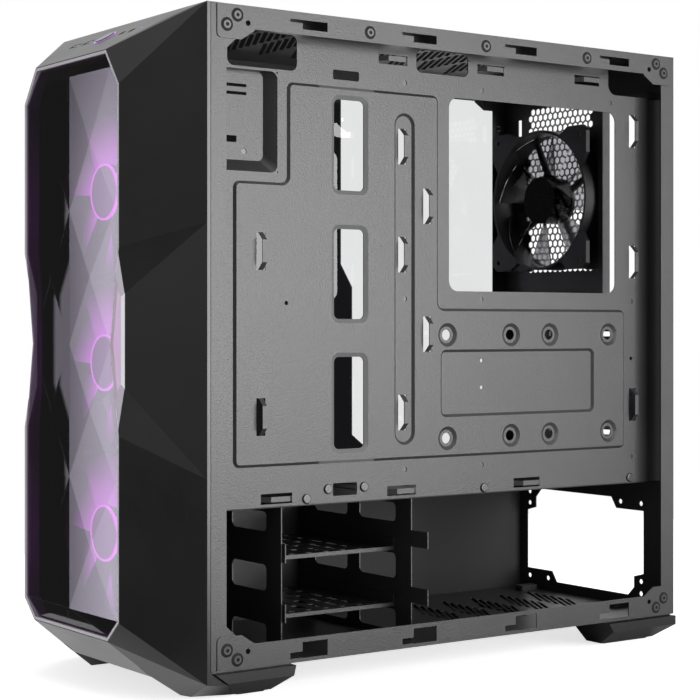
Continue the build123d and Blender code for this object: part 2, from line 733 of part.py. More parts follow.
# Outer cover over the slot screws, and its thumbscrew
with BuildPart() as slot_screw_cover:
    block(-66.0, -34.0, chassis_rear, chassis_rear + cover_rise, 126.0, 284.0)
    block(-66.0 + sheet, -33.0, chassis_rear - 1, chassis_rear + cover_rise - sheet, 126.0 + sheet, 284.0 - sheet,
          mode=Mode.SUBTRACT)
    block(-80.0, -66.0, chassis_rear, chassis_rear + sheet, 195.0, 215.0)
    with BuildSketch(at_y(chassis_rear + 2)):
        with Locations((-73.0, 205.0)):
            Circle(panel_screw_radius)
    extrude(amount=3, mode=Mode.SUBTRACT)
save(slot_screw_cover.part, "slot_screw_cover")

with BuildPart() as cover_thumbscrew:
    with BuildSketch(at_y(chassis_rear + sheet)):
        with Locations((-73.0, 205.0)):
            RegularPolygon(5.2, 16)
    extrude(amount=-5.5)
    with BuildSketch(at_y(chassis_rear + sheet)):
        with Locations((-73.0, 205.0)):
            Circle(panel_screw_radius)
    extrude(amount=6)
    with BuildSketch(at_y(chassis_rear + sheet + 5.5)):
        with Locations((-73.0, 205.0)):
            Rectangle(6.0, 1.2)
    extrude(amount=1.2, mode=Mode.SUBTRACT)
save(cover_thumbscrew.part, "cover_thumbscrew")

fan_half = fan_size / 2
fan_ear = [(fan_half, fan_half - 5), (fan_half, fan_half - 23), (53.0, 26.0), (26.0, 53.0),
           (fan_half - 23, fan_half), (fan_half - 5, fan_half)]

# Fan frame and rotor, drawn round the Y axis with the mounting face at Y = 0
with BuildPart() as fan_frame_pattern:
    for start in (0.0, fan_depth - 4.0):
        with BuildSketch(at_y(-start)):
            Circle(fan_size / 2 - 0.2)
            for quarter in range(4):
                with Locations(Location((0, 0), 90 * quarter)):
                    polygon(fan_ear)
            Circle(fan_duct_radius, mode=Mode.SUBTRACT)
            with GridLocations(fan_hole, fan_hole, 2, 2):
                Circle(2.0, mode=Mode.SUBTRACT)
        extrude(amount=4.0)
    with BuildSketch(at_y(0)):
        Circle(fan_size / 2 - 0.4)
        Circle(fan_duct_radius, mode=Mode.SUBTRACT)
    extrude(amount=fan_depth)
    with BuildSketch(at_y(0)):
        Circle(fan_hub_radius)
        with PolarLocations(39.0, 4, start_angle=28):
            Rectangle(40.0, 5.0)
    extrude(amount=3.0)
    with BuildSketch(at_y(0)):
        Circle(fan_hub_radius - 5)
    extrude(amount=13.0)
    with BuildSketch(at_y(0)):
        Circle(3.4)
    extrude(amount=17.0)
    with BuildSketch(at_y(-3.0)):
        Circle(fan_shaft_radius + fan_shaft_clearance)
    extrude(amount=15.0, mode=Mode.SUBTRACT)

with BuildPart() as fan_blade:
    with BuildSketch(at_x(fan_hub_radius - 1.5)):
        polygon([(-7.0, -7.0), (-8.6, -7.0), (-16.2, 1.5), (-22.0, 10.5), (-20.6, 10.5), (-14.6, 0.8)])
    with BuildSketch(at_x(fan_tip_radius + 1.6)):
        polygon([(-8.5, -14.5), (-9.7, -14.5), (-15.6, 5.0), (-20.5, 26.0), (-19.4, 26.0), (-14.2, 4.5)])
    loft(ruled=True)
    with BuildSketch(at_y(0)):
        Circle(fan_tip_radius)
    extrude(amount=fan_depth, mode=Mode.INTERSECT)

with BuildPart() as fan_rotor_pattern:
    with BuildSketch(at_y(-5.0)):
        Circle(fan_hub_radius)
    extrude(amount=18.5)
    with BuildSketch(at_y(-5.0)):
        Circle(fan_hub_radius - 2)
    extrude(amount=16.5, mode=Mode.SUBTRACT)
    with BuildSketch(at_y(-5.0)):
        Circle(fan_shaft_radius)
    extrude(amount=17.0)
    for blade in range(fan_blades):
        add(fan_blade.part.rotate(Axis.Y, 360.0 / fan_blades * blade))

fans = [("upper_fan", 0.0, chassis_front, front_fans[2]), ("middle_fan", 0.0, chassis_front, front_fans[1]),
        ("lower_fan", 0.0, chassis_front, front_fans[0]), ("rear_fan", rear_fan_x, rear_inner, rear_fan_z)]
for name, x, y, z in fans:
    with BuildPart() as fan_frame:
        with Locations((x, y, z)):
            add(fan_frame_pattern.part)
    save(fan_frame.part, name + "_frame")
    with BuildPart() as fan_rotor:
        with Locations((x, y, z)):
            add(fan_rotor_pattern.part)
        if name != "rear_fan":
            with BuildSketch(at_y(y - 22.3)):
                with Locations((x, z)):
                    Circle(fan_hub_radius + 1)
                    Circle(fan_hub_radius - 1.5, mode=Mode.SUBTRACT)
            extrude(amount=2.0, mode=Mode.SUBTRACT)
    save(fan_rotor.part, name + "_rotor")
    if name != "rear_fan":
        with BuildPart() as light_ring:
            with BuildSketch(at_y(y - 22.3)):
                with Locations((x, z)):
                    Circle(fan_hub_radius)
                    Circle(fan_hub_radius - 1.5, mode=Mode.SUBTRACT)
            extrude(amount=1.5)
        save(light_ring.part, name + "_light_ring")

# Fan screws
with BuildPart() as front_fan_screws:
    for height in front_fans:
        for dx in (-fan_hole / 2, fan_hole / 2):
            for dz in (-fan_hole / 2, fan_hole / 2):
                with BuildSketch(at_y(front_inner)):
                    with Locations((dx, height + dz)):
                        Circle(3.6)
                extrude(amount=-1.8)
                with BuildSketch(at_y(front_inner)):
                    with Locations((dx, height + dz)):
                        Circle(2.0)
                extrude(amount=5.0)
save(front_fan_screws.part, "front_fan_screws")

with BuildPart() as rear_fan_screws:
    for dx in (-fan_hole / 2, fan_hole / 2):
        for dz in (-fan_hole / 2, fan_hole / 2):
            with BuildSketch(at_y(chassis_rear)):
                with Locations((rear_fan_x + dx, rear_fan_z + dz)):
                    Circle(3.8)
            extrude(amount=-1.8)
            with BuildSketch(at_y(chassis_rear)):
                with Locations((rear_fan_x + dx, rear_fan_z + dz)):
                    Circle(2.0)
            extrude(amount=5.0)
save(rear_fan_screws.part, "rear_fan_screws")

# Front shell corners, right half; the left half mirrors them
waist_y = rim_y + waist_set_back
corner_top = (rim_top_half, rim_y, rim_top)
corner_shoulder = (rim_half, rim_y, shoulder)
corner_foot = (rim_half, rim_y, rim_foot)
corner_bottom = (rim_bottom_half, rim_y, rim_bottom)
back_top = (shell_half, side_band_y, chassis_top)
back_bottom = (shell_half, side_band_y, shell_bottom)
waist_a = (rim_half, rim_y, waist_upper[0])
waist_b = (shell_half, side_band_y, side_crease[0])
waist_c = (waist_half, waist_y, waist_upper[1])
waist_d = (waist_half, waist_y, waist_lower[0])
waist_e = (shell_half, side_band_y, side_crease[1])
waist_f = (rim_half, rim_y, waist_lower[1])


def left(corner):
    """Mirror image of a corner."""
    return (-corner[0], corner[1], corner[2])


rim = [(rim_top_half, rim_top), (rim_half, shoulder), (rim_half, waist_upper[0]), (waist_half, waist_upper[1]),
       (waist_half, waist_lower[0]), (rim_half, waist_lower[1]), (rim_half, rim_foot), (rim_bottom_half, rim_bottom)]
rim += [(-x, z) for x, z in reversed(rim)]
right_facets = [(corner_shoulder, corner_foot, back_top), (corner_top, corner_shoulder, back_top),
                (corner_foot, corner_bottom, back_bottom), (corner_bottom, toe, back_bottom)]
level_facets = [((0, rim_y, rim_top), (1, rim_y, rim_top), (0, side_band_y, chassis_top)),
                ((1, rim_y, rim_bottom), (0, rim_y, rim_bottom), (0, chin_y, shell_bottom + 0.8))]


def waist_notch(wall):
    """What is taken out of the right side at the waist, between two slanting creases."""
    with BuildPart() as notch:
        block(40.0, 125.0, rim_y - 20, side_band_y + 20, side_crease[1] - 30, side_crease[0] + 30)
        split(bisect_by=facet(waist_c, waist_d, waist_b).offset(-wall), keep=Keep.TOP)
        split(bisect_by=facet(waist_a, waist_b, waist_c).offset(wall), keep=Keep.BOTTOM)
        split(bisect_by=facet(waist_f, waist_d, waist_e).offset(wall), keep=Keep.BOTTOM)
    return notch.part


def shell_body(wall, back):
    """Faceted body of the shell, with every facet moved inward by the wall."""
    notch = waist_notch(wall)
    with BuildPart() as body:
        block(-shell_half + wall, shell_half - wall, rim_y + wall, back, shell_bottom + wall, chassis_top - wall)
        for corners in level_facets:
            split(bisect_by=facet(*corners).offset(-wall), keep=Keep.BOTTOM)
        for a, b, c in right_facets:
            split(bisect_by=facet(a, b, c).offset(-wall), keep=Keep.BOTTOM)
            split(bisect_by=facet(left(a), left(c), left(b)).offset(-wall), keep=Keep.BOTTOM)
        add(notch, mode=Mode.SUBTRACT)
        add(notch.mirror(Plane.YZ), mode=Mode.SUBTRACT)
    return body.part


slope_rise = chassis_top - rim_top
slope_run = side_band_y - rim_y
slope_z = rim_top + slope_rise * (control_y - rim_y) / slope_run
slope = Plane(origin=(0, control_y, slope_z), x_dir=(1, 0, 0), z_dir=(0, -slope_rise, slope_run))

outer_body = shell_body(0.0, chassis_front - shell_seam)
inner_body = shell_body(shell_wall, chassis_front + 1)

# Toes: the lower corners of the shell run down to the ground in front of the feet
with BuildPart() as toes:
    with BuildSketch(at_x(foot_inner - 6)):
        polygon([(rim_y, 21.7), (chassis_front - 0.5, 21.7), (-165.0, foot_sole), (-225.0, foot_sole), (rim_y, 10.0)])
    extrude(amount=shell_half - foot_inner + 6)
    for corners in ((corner_bottom, toe, back_bottom), (corner_foot, corner_bottom, back_bottom),
                    (back_bottom, toe, (ground_outer, -165.0, foot_sole)),
                    ((foot_inner - 5, -200, 15), (ground_inner - 2, -190, foot_sole), (ground_inner - 2, -200, foot_sole))):
        split(bisect_by=facet(*corners), keep=Keep.BOTTOM)
    split(bisect_by=facet(corner_shoulder, corner_foot, back_top), keep=Keep.BOTTOM)
    mirror(about=Plane.YZ)

with BuildPart() as front_shell:
    add(outer_body)
    add(inner_body, mode=Mode.SUBTRACT)
    with BuildSketch(at_y(rim_y - 1)):
        polygon(inset(rim, rim_land))
    extrude(amount=-20, mode=Mode.SUBTRACT)
    add(toes.part)
    # posts for the front circuit board
    with BuildSketch(slope.offset(-shell_wall + 0.2)):
        with Locations((-64.0, 0), (64.0, 0)):
            Circle(3.0)
    extrude(amount=-(io_depth - shell_wall + 0.2))
    # snap posts
    for side in (-1, 1):
        for height in clip_heights:
            with BuildSketch(at_y(chassis_front)):
                with Locations((side * clip_half, height)):
                    Circle(3.6)
            extrude(amount=6.0)
            with BuildSketch(at_y(chassis_front)):
                with Locations((side * clip_half, height)):
                    Circle(clip_radius)
            extrude(amount=-7.0)
    with BuildSketch(slope.offset(1)):
        Circle(power_ring_radius)
        with Locations(*[(x, 0) for x in usb_x]):
            Rectangle(13.4, 6.0)
        with Locations(*[(x, 0) for x in jack_x]):
            Circle(3.1)
        with Locations((lamp_x, 0)):
            Circle(1.3)
    extrude(amount=-(shell_wall + 2), mode=Mode.SUBTRACT)
save(front_shell.part, "front_shell")

# Light trim line round the window
with BuildPart() as window_trim:
    add(outer_body)
    with BuildSketch(at_y(rim_y - 1)):
        polygon(inset(rim, rim_land))
    extrude(amount=-13.0, mode=Mode.INTERSECT)
    with BuildSketch(at_y(rim_y - 2)):
        polygon(inset(rim, rim_land + trim_width))
    extrude(amount=-16.0, mode=Mode.SUBTRACT)
save(window_trim.part, "window_trim")

# Clear window: two columns of four shallow pyramids, and a bevelled border that follows the waist
window_edge = inset(rim, rim_land + trim_width + window_clearance)
peak = rim_y + window_sink
edge_y = peak + window_fall
end_y = peak + window_end_fall
waist_edge_y = waist_y - (waist_half - window_edge[3][0]) * (waist_y - side_band_y) / (waist_half - shell_half) + 0.4
border_y = [end_y, edge_y, edge_y, waist_edge_y, waist_edge_y, edge_y, edge_y, end_y]
border_y += border_y[::-1]
border = [(x, y, z) for (x, z), y in zip(window_edge, border_y)]
knots = {}
for row, (x, z) in diamond_edge.items():
    knots[-2, row] = (-x, peak, z)
    knots[0, row] = (0.0, peak, z)
    knots[2, row] = (x, peak, z)
for row in (-3, -1, 1, 3):
    for column in (-1, 1):
        knots[column, row] = (column * diamond_half, peak + diamond_sink, window_middle + row * diamond_row)
front_triangles = []
for row in (-3, -1, 1, 3):
    for column in (-1, 1):
        tip = knots[column, row]
        ring = [knots[column - 1, row - 1], knots[column + 1, row - 1], knots[column + 1, row + 1], knots[column - 1, row + 1]]
        front_triangles += [(tip, ring[i], ring[(i + 1) % 4]) for i in range(4)]
right_edge = [knots[2, 4], knots[2, 2], knots[2, 0], knots[2, -2], knots[2, -4]]
top_r, shoulder_r, a_r, c_r, d_r, f_r, foot_r, bottom_r = border[:8]
right_strip = [(right_edge[0], shoulder_r, top_r), (right_edge[1], shoulder_r, right_edge[0]),
               (right_edge[1], a_r, shoulder_r), (right_edge[2], a_r, right_edge[1]), (right_edge[2], c_r, a_r),
               (right_edge[2], d_r, c_r), (right_edge[2], f_r, d_r), (right_edge[3], f_r, right_edge[2]),
               (right_edge[3], foot_r, f_r), (right_edge[4], foot_r, right_edge[3]), (right_edge[4], bottom_r, foot_r),
               (knots[0, 4], right_edge[0], top_r), (knots[0, -4], bottom_r, right_edge[4])]
front_triangles += right_strip
front_triangles += [(left(a), left(c), left(b)) for a, b, c in right_strip]
front_triangles += [(knots[0, 4], top_r, left(top_r)), (knots[0, -4], left(bottom_r), bottom_r)]


def pushed(corner):
    """Corner on the back face of the window."""
    return (corner[0], corner[1] + window_thickness, corner[2])


window_faces = [Face(Wire.make_polygon([Vector(*p) for p in triangle])) for triangle in front_triangles]
for a, b, c in front_triangles:
    window_faces.append(Face(Wire.make_polygon([Vector(*pushed(p)) for p in (a, c, b)])))
for i, corner in enumerate(border):
    after = border[(i + 1) % len(border)]
    for triangle in ((corner, after, pushed(corner)), (after, pushed(after), pushed(corner))):
        window_faces.append(Face(Wire.make_polygon([Vector(*p) for p in triangle])))
with BuildPart() as front_window:
    add(Solid(Shell(window_faces)))
save(front_window.part, "front_window")

# Controls on the sloping top of the shell
with BuildPart() as power_ring:
    with BuildSketch(slope.offset(0.3)):
        Circle(power_ring_radius)
        Circle(power_ring_radius - power_ring_width, mode=Mode.SUBTRACT)
    extrude(amount=-(shell_wall + 0.3))
save(power_ring.part, "power_ring")

with BuildPart() as power_button:
    with BuildSketch(slope.offset(0.9)):
        Circle(power_button_radius)
    extrude(amount=-4.4)
    with BuildSketch(slope.offset(-shell_wall - 0.5)):
        Circle(power_ring_radius - 0.4)
    extrude(amount=-1.5)
    with BuildSketch(slope.offset(-shell_wall - 2.0)):
        Circle(2.4)
    extrude(amount=-5.0)
save(power_button.part, "power_button")

with BuildPart() as front_board:
    with BuildSketch(slope.offset(-io_depth)):
        Rectangle(138.0, 18.0)
    extrude(amount=-1.6)
    with BuildSketch(slope.offset(-io_depth)):
        Rectangle(7.0, 7.0)
    extrude(amount=3.4)
save(front_board.part, "front_board")

with BuildPart() as usb_ports:
    with BuildSketch(slope.offset(-io_depth)):
        with Locations(*[(x, 0) for x in usb_x]):
            Rectangle(13.2, 5.8)
    extrude(amount=io_depth - 0.3)
    with BuildSketch(slope.offset(-0.3)):
        with Locations(*[(x, 0) for x in usb_x]):
            Rectangle(12.0, 4.6)
        with Locations(*[(x, 1.1) for x in usb_x]):
            Rectangle(10.8, 1.8, mode=Mode.SUBTRACT)
    extrude(amount=-10.0, mode=Mode.SUBTRACT)
save(usb_ports.part, "usb_ports")

with BuildPart() as audio_jacks:
    with BuildSketch(slope.offset(-io_depth)):
        with Locations(*[(x, 0) for x in jack_x]):
            Circle(3.0)
    extrude(amount=io_depth - 0.3)
    with BuildSketch(slope.offset(-0.3)):
        with Locations(*[(x, 0) for x in jack_x]):
            Circle(1.75)
    extrude(amount=-11.0, mode=Mode.SUBTRACT)
save(audio_jacks.part, "audio_jacks")

with BuildPart() as activity_lamp:
    with BuildSketch(slope.offset(-io_depth)):
        with Locations((lamp_x, 0)):
            Circle(1.2)
    extrude(amount=io_depth + 0.1)
save(activity_lamp.part, "activity_lamp")

# Feet: chamfered profile along the case, cut to the slanting ends
foot_profile = [(foot_neck, foot_height), (foot_neck, foot_height - foot_seam), (case_half, foot_height - foot_seam),
                (case_half, foot_break), (ground_outer, foot_sole),
                (ground_inner, foot_sole), (foot_inner, foot_break), (foot_inner, foot_height)]
foot_sides = {"front": [(-193.3, foot_height), (-164.4, foot_sole), (-132.6, foot_sole), (-127.4, foot_height)],
              "rear": [(164.3, foot_height), (178.1, foot_sole), (235.6, foot_sole), (237.5, foot_break),
                       (237.5, foot_height)]}
pad_ends = {"front": (-160.0, -136.0), "rear": (182.0, 232.0)}
pad_places = []
for end, outline in foot_sides.items():
    for side, hand in ((1, "right"), (-1, "left")):
        with BuildPart() as foot:
            with BuildSketch(at_y(260.0)):
                polygon([(side * x, z) for x, z in foot_profile])
            extrude(amount=520.0)
            with BuildSketch(at_x(-120.0)):
                polygon(outline)
            extrude(amount=240.0, mode=Mode.INTERSECT)
            pad = (side * (ground_outer + ground_inner) / 2, sum(pad_ends[end]) / 2)
            length = pad_ends[end][1] - pad_ends[end][0]
            with BuildSketch(at_z(foot_sole)):
                with Locations(pad):
                    RectangleRounded(ground_outer - ground_inner - 3, length, 3.0)
            extrude(amount=pad_recess, mode=Mode.SUBTRACT)
        pad_places.append((pad, length))
        save(foot.part, "foot_" + end + "_" + hand)

with BuildPart() as foot_pads:
    for pad, length in pad_places:
        with BuildSketch(at_z(0)):
            with Locations(pad):
                RectangleRounded(ground_outer - ground_inner - 3, length, 3.0)
        extrude(amount=foot_sole + pad_recess)
save(foot_pads.part, "foot_pads")

# Pads that carry the power supply
with BuildPart() as psu_pads:
    with BuildSketch(at_z(floor_top)):
        with Locations((-58, 92), (58, 92), (-58, 224), (58, 224)):
            RectangleRounded(10.0, 18.0, 2.0)
    extrude(amount=4.4)
save(psu_pads.part, "psu_pads")

# Dust filter below the power supply
with BuildPart() as filter_frame:
    block(-filter_half, filter_half, filter_front, rear_inner, filter_low, filter_low + filter_thickness)
    for y0, y1 in ((62.0, 143.0), (147.0, 228.0)):
        block(-52.0, -2.0, y0, y1, filter_low - 1, filter_low + 5, mode=Mode.SUBTRACT)
        block(2.0, 52.0, y0, y1, filter_low - 1, filter_low + 5, mode=Mode.SUBTRACT)
    block(-15.0, 15.0, rear_inner - 1, chassis_rear + 5, filter_low, filter_low + 2.0)
save(filter_frame.part, "filter_frame")

with BuildPart() as filter_mesh:
    for y0, y1 in ((62.0, 143.0), (147.0, 228.0)):
        block(-52.0, -2.0, y0, y1, filter_low + 1.4, filter_low + 2.0)
        block(2.0, 52.0, y0, y1, filter_low + 1.4, filter_low + 2.0)
save(filter_mesh.part, "filter_mesh")

roof_cloth_half = roof_filter_half - roof_filter_border
roof_cloth_ends = (roof_filter_ends[0] + roof_filter_border, roof_filter_ends[1] - roof_filter_border)

# Dust filter on the roof, a framed cloth held by magnets
with BuildPart() as roof_filter_frame:
    block(-roof_filter_half, roof_filter_half, *roof_filter_ends, chassis_top, chassis_top + roof_filter_thickness)
    block(-roof_cloth_half, roof_cloth_half, *roof_cloth_ends, chassis_top - 1, chassis_top + 2, mode=Mode.SUBTRACT)
save(roof_filter_frame.part, "roof_filter_frame")

with BuildPart() as roof_filter_mesh:
    block(-roof_cloth_half, roof_cloth_half, *roof_cloth_ends, chassis_top + 0.2, chassis_top + 0.6)
save(roof_filter_mesh.part, "roof_filter_mesh")

# Clear left side panel and its flush screws
panel_inner = -rail_half - panel_gap
panel_points = [(chassis_front + 6, 60.0), (chassis_front + 6, 430.0), (chassis_rear - 7, 60.0), (chassis_rear - 7, 430.0)]
with BuildPart() as left_panel:
    block(-case_half, panel_inner, chassis_front + 0.7, chassis_rear - 0.5, foot_height + 2, chassis_top - 2)
    for y, z in panel_points:
        with BuildSketch(at_x(-case_half)):
            with Locations((y, z)):
                Circle(3.6)
        with BuildSketch(at_x(-case_half + 1.4)):
            with Locations((y, z)):
                Circle(panel_screw_radius)
        loft(mode=Mode.SUBTRACT)
        with BuildSketch(at_x(-case_half - 1)):
            with Locations((y, z)):
                Circle(panel_screw_radius)
        extrude(amount=5, mode=Mode.SUBTRACT)
save(left_panel.part, "left_panel")

with BuildPart() as left_panel_screws:
    for y, z in panel_points:
        with BuildSketch(at_x(-case_half)):
            with Locations((y, z)):
                Circle(3.6)
        with BuildSketch(at_x(-case_half + 1.4)):
            with Locations((y, z)):
                Circle(panel_screw_radius)
        loft()
        with BuildSketch(at_x(-case_half + 1.4)):
            with Locations((y, z)):
                Circle(panel_screw_radius)
        extrude(amount=7.0)
        with BuildSketch(at_x(-case_half)):
            with Locations((y, z)):
                Rectangle(4.0, 0.9)
                Rectangle(0.9, 4.0)
        extrude(amount=0.8, mode=Mode.SUBTRACT)
save(left_panel_screws.part, "left_panel_screws")
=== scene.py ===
# %% [markdown]
# # A mid-tower computer case with a faceted front
# The solids come from CAD, already in place and at their real size. This lesson dresses them: it
# writes the finishes as node trees, adds the fine repeating pieces that solids leave out, and sets
# a plain studio round the case. Every length is in metres, +X is the right side and -Y the front.

# %% Load the solids
import json
import math
import bpy
from mathutils import Matrix, Vector


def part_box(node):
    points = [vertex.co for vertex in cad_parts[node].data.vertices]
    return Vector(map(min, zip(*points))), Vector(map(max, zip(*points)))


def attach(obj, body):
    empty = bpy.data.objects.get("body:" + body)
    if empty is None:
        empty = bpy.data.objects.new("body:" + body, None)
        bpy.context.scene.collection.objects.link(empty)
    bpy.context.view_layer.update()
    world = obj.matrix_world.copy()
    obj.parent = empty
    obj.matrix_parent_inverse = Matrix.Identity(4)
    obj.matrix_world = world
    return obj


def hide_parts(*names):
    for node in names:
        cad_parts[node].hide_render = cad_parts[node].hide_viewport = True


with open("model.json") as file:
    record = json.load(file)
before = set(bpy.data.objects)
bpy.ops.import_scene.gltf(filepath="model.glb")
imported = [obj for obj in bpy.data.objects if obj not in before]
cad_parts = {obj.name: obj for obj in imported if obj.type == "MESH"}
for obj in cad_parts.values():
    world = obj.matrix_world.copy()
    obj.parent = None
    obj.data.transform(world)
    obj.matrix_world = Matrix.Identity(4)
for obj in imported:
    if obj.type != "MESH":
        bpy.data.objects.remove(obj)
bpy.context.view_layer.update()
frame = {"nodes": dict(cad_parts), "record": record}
nodes = frame["nodes"]
slots = {entry["node"]: entry["material_slot"] for entry in frame["record"]["subparts"]}

# %% [markdown]
# ## Small helpers for node trees
# A finish is a tree of nodes. It could be put together by hand in the shader editor, but a script
# gives the same tree each time. Writing out every node and link repeats the same few lines, so
# helpers make a node with its values set, link two sockets, and start a group with named sockets.

# %% Node helpers
MM = 0.001


def make(tree, kind, values=None, **settings):
    """New node in a tree, with its settings and the values of its input sockets."""
    item = tree.nodes.new(kind)
    for key, value in settings.items():
        setattr(item, key, value)
    for key, value in (values or {}).items():
        item.inputs[key].default_value = value
    return item


def join(tree, source, target):
    """Link from an output socket to an input socket."""
    tree.links.new(source, target)


def new_group(name, kind, inputs, outputs):
    """Node group with named sockets, and its input and output nodes."""
    tree = bpy.data.node_groups.new(name, kind)
    for label, sort, value in inputs:
        socket = tree.interface.new_socket(name=label, in_out="INPUT", socket_type=sort)
        if value is not None:
            socket.default_value = value
    for label, sort in outputs:
        tree.interface.new_socket(name=label, in_out="OUTPUT", socket_type=sort)
    return tree, tree.nodes.new("NodeGroupInput"), tree.nodes.new("NodeGroupOutput")


print("node helpers:", [helper.__name__ for helper in (make, join, new_group)])

# %% [markdown]
# Three kinds of node come up again and again: a sum or product, a ramp that turns one range of
# values into another, and a mix of two colours. Each gets a helper that takes sockets, numbers or
# colours alike and hands back the socket with the result, so that a tree reads like a formula.

# %% Value helpers
def feed(tree, source, target):
    """Give an input socket a link, a colour or a number."""
    if isinstance(source, bpy.types.NodeSocket):
        join(tree, source, target)
    elif isinstance(source, tuple):
        target.default_value = (*source, 1.0)
    else:
        target.default_value = source


def maths(tree, operation, *sources, **settings):
    """Result of a Math node on its sources, in their order."""
    item = make(tree, "ShaderNodeMath", operation=operation, **settings)
    for source, target in zip(sources, item.inputs):
        feed(tree, source, target)
    return item.outputs[0]


def times(tree, first, *others):
    """Product of any number of sources."""
    for other in others:
        first = maths(tree, "MULTIPLY", first, other)
    return first


def ramp(tree, source, start, end, low=0.0, high=1.0, **settings):
    """Value that goes from low to high while the source goes from start to end, level outside."""
    item = make(tree, "ShaderNodeMapRange",
                {"From Min": start, "From Max": end, "To Min": low, "To Max": high}, **settings)
    join(tree, source, item.inputs["Value"])
    return item.outputs["Result"]


def mixed(tree, amount, first, second):
    """Colour that goes from the first to the second while the amount goes from 0 to 1."""
    item = make(tree, "ShaderNodeMix", data_type="RGBA")
    for source, place in ((amount, 0), (first, 6), (second, 7)):
        feed(tree, source, item.inputs[place])
    return item.outputs[2]


print("value helpers:", [helper.__name__ for helper in (feed, maths, times, ramp, mixed)])

# %% [markdown]
# ## Shared surface effects
# Powder coat, moulded plastic and acrylic all have a fine grain and a slow, cloudy change of tone,
# only at other sizes. One group gives both, and each finish places it with its own values. A second
# group gives thin handling scratches, which break up a highlight: a noise that is squeezed fourteen
# times in one direction, of which only the strongest streaks are kept.

# %% Grain and cloud group
grain_group, g_in, g_out = new_group(
    "surface_grain", "ShaderNodeTree",
    [("Grain Size", "NodeSocketFloat", 0.0006), ("Cloud Size", "NodeSocketFloat", 0.05)],
    [("Grain", "NodeSocketFloat"), ("Cloud", "NodeSocketFloat")])
coords = make(grain_group, "ShaderNodeTexCoord")
for label, detail in (("Grain", 2.0), ("Cloud", 4.0)):
    rate = maths(grain_group, "DIVIDE", 1.0, g_in.outputs[label + " Size"])
    noise = make(grain_group, "ShaderNodeTexNoise", {"Detail": detail, "Roughness": 0.55})
    join(grain_group, coords.outputs["Object"], noise.inputs["Vector"])
    join(grain_group, rate, noise.inputs["Scale"])
    join(grain_group, noise.outputs["Fac"], g_out.inputs[label])
print("group:", grain_group.name, "nodes:", len(grain_group.nodes))

# %% Scratch group
MARK_START, MARK_FULL = 0.55, 0.8
scratch_group, s_in, s_out = new_group(
    "handling_marks", "ShaderNodeTree",
    [("Spacing", "NodeSocketFloat", 0.02), ("Amount", "NodeSocketFloat", 0.3)],
    [("Marks", "NodeSocketFloat")])
coords = make(scratch_group, "ShaderNodeTexCoord")
squeeze = make(scratch_group, "ShaderNodeMapping",
               {"Rotation": (0.5, 0.3, 0.9), "Scale": (1.0, 14.0, 1.0)})
join(scratch_group, coords.outputs["Object"], squeeze.inputs["Vector"])
rate = maths(scratch_group, "DIVIDE", 1.0, s_in.outputs["Spacing"])
streaks = make(scratch_group, "ShaderNodeTexNoise", {"Detail": 3.0, "Roughness": 0.7})
join(scratch_group, squeeze.outputs["Vector"], streaks.inputs["Vector"])
join(scratch_group, rate, streaks.inputs["Scale"])
strongest = ramp(scratch_group, streaks.outputs["Fac"], MARK_START, MARK_FULL)
join(scratch_group, times(scratch_group, strongest, s_in.outputs["Amount"]), s_out.inputs["Marks"])
print("group:", scratch_group.name, "nodes:", len(scratch_group.nodes))

# %% [markdown]
# ## Finishes
# Each finish is a Principled BSDF. Its tone drifts between two close colours with the cloud, its
# roughness drifts too and is roughened by the marks, and the grain lifts the surface a little.
# Values that are the same all over are set on the shader itself.

# %% Finish maker
CLOUD_DARK, CLOUD_LIGHT, MARK_ROUGHNESS = 0.3, 0.7, 0.25
finishes = {}


def shader_of(name):
    """Node tree of a finish, and its Principled BSDF."""
    tree = finishes[name].node_tree
    return tree, tree.nodes["Principled BSDF"]


def surface(name, dark, light, rough, grain=0.0006, cloud=0.05, bump=0.15, depth=0.0001, marks=0.2,
            **fixed):
    """Opaque or clear finish with grain, cloud and marks. dark and light are linear colours."""
    finishes[name] = bpy.data.materials.new(name)
    finishes[name].use_nodes = True
    tree, shader = shader_of(name)
    texture = make(tree, "ShaderNodeGroup", {"Grain Size": grain, "Cloud Size": cloud},
                   node_tree=grain_group)
    wear = make(tree, "ShaderNodeGroup", {"Amount": marks}, node_tree=scratch_group)
    clouds = texture.outputs["Cloud"]
    tone = mixed(tree, ramp(tree, clouds, CLOUD_DARK, CLOUD_LIGHT), dark, light)
    join(tree, tone, shader.inputs["Base Color"])
    drift = ramp(tree, clouds, 0.0, 1.0, *rough)
    worn = maths(tree, "MULTIPLY_ADD", wear.outputs["Marks"], MARK_ROUGHNESS, drift, use_clamp=True)
    join(tree, worn, shader.inputs["Roughness"])
    relief = make(tree, "ShaderNodeBump", {"Strength": bump, "Distance": depth})
    join(tree, texture.outputs["Grain"], relief.inputs["Height"])
    join(tree, relief.outputs["Normal"], shader.inputs["Normal"])
    for socket, value in fixed.items():
        shader.inputs[socket.replace("_", " ")].default_value = value


print("finish maker:", surface.__doc__)
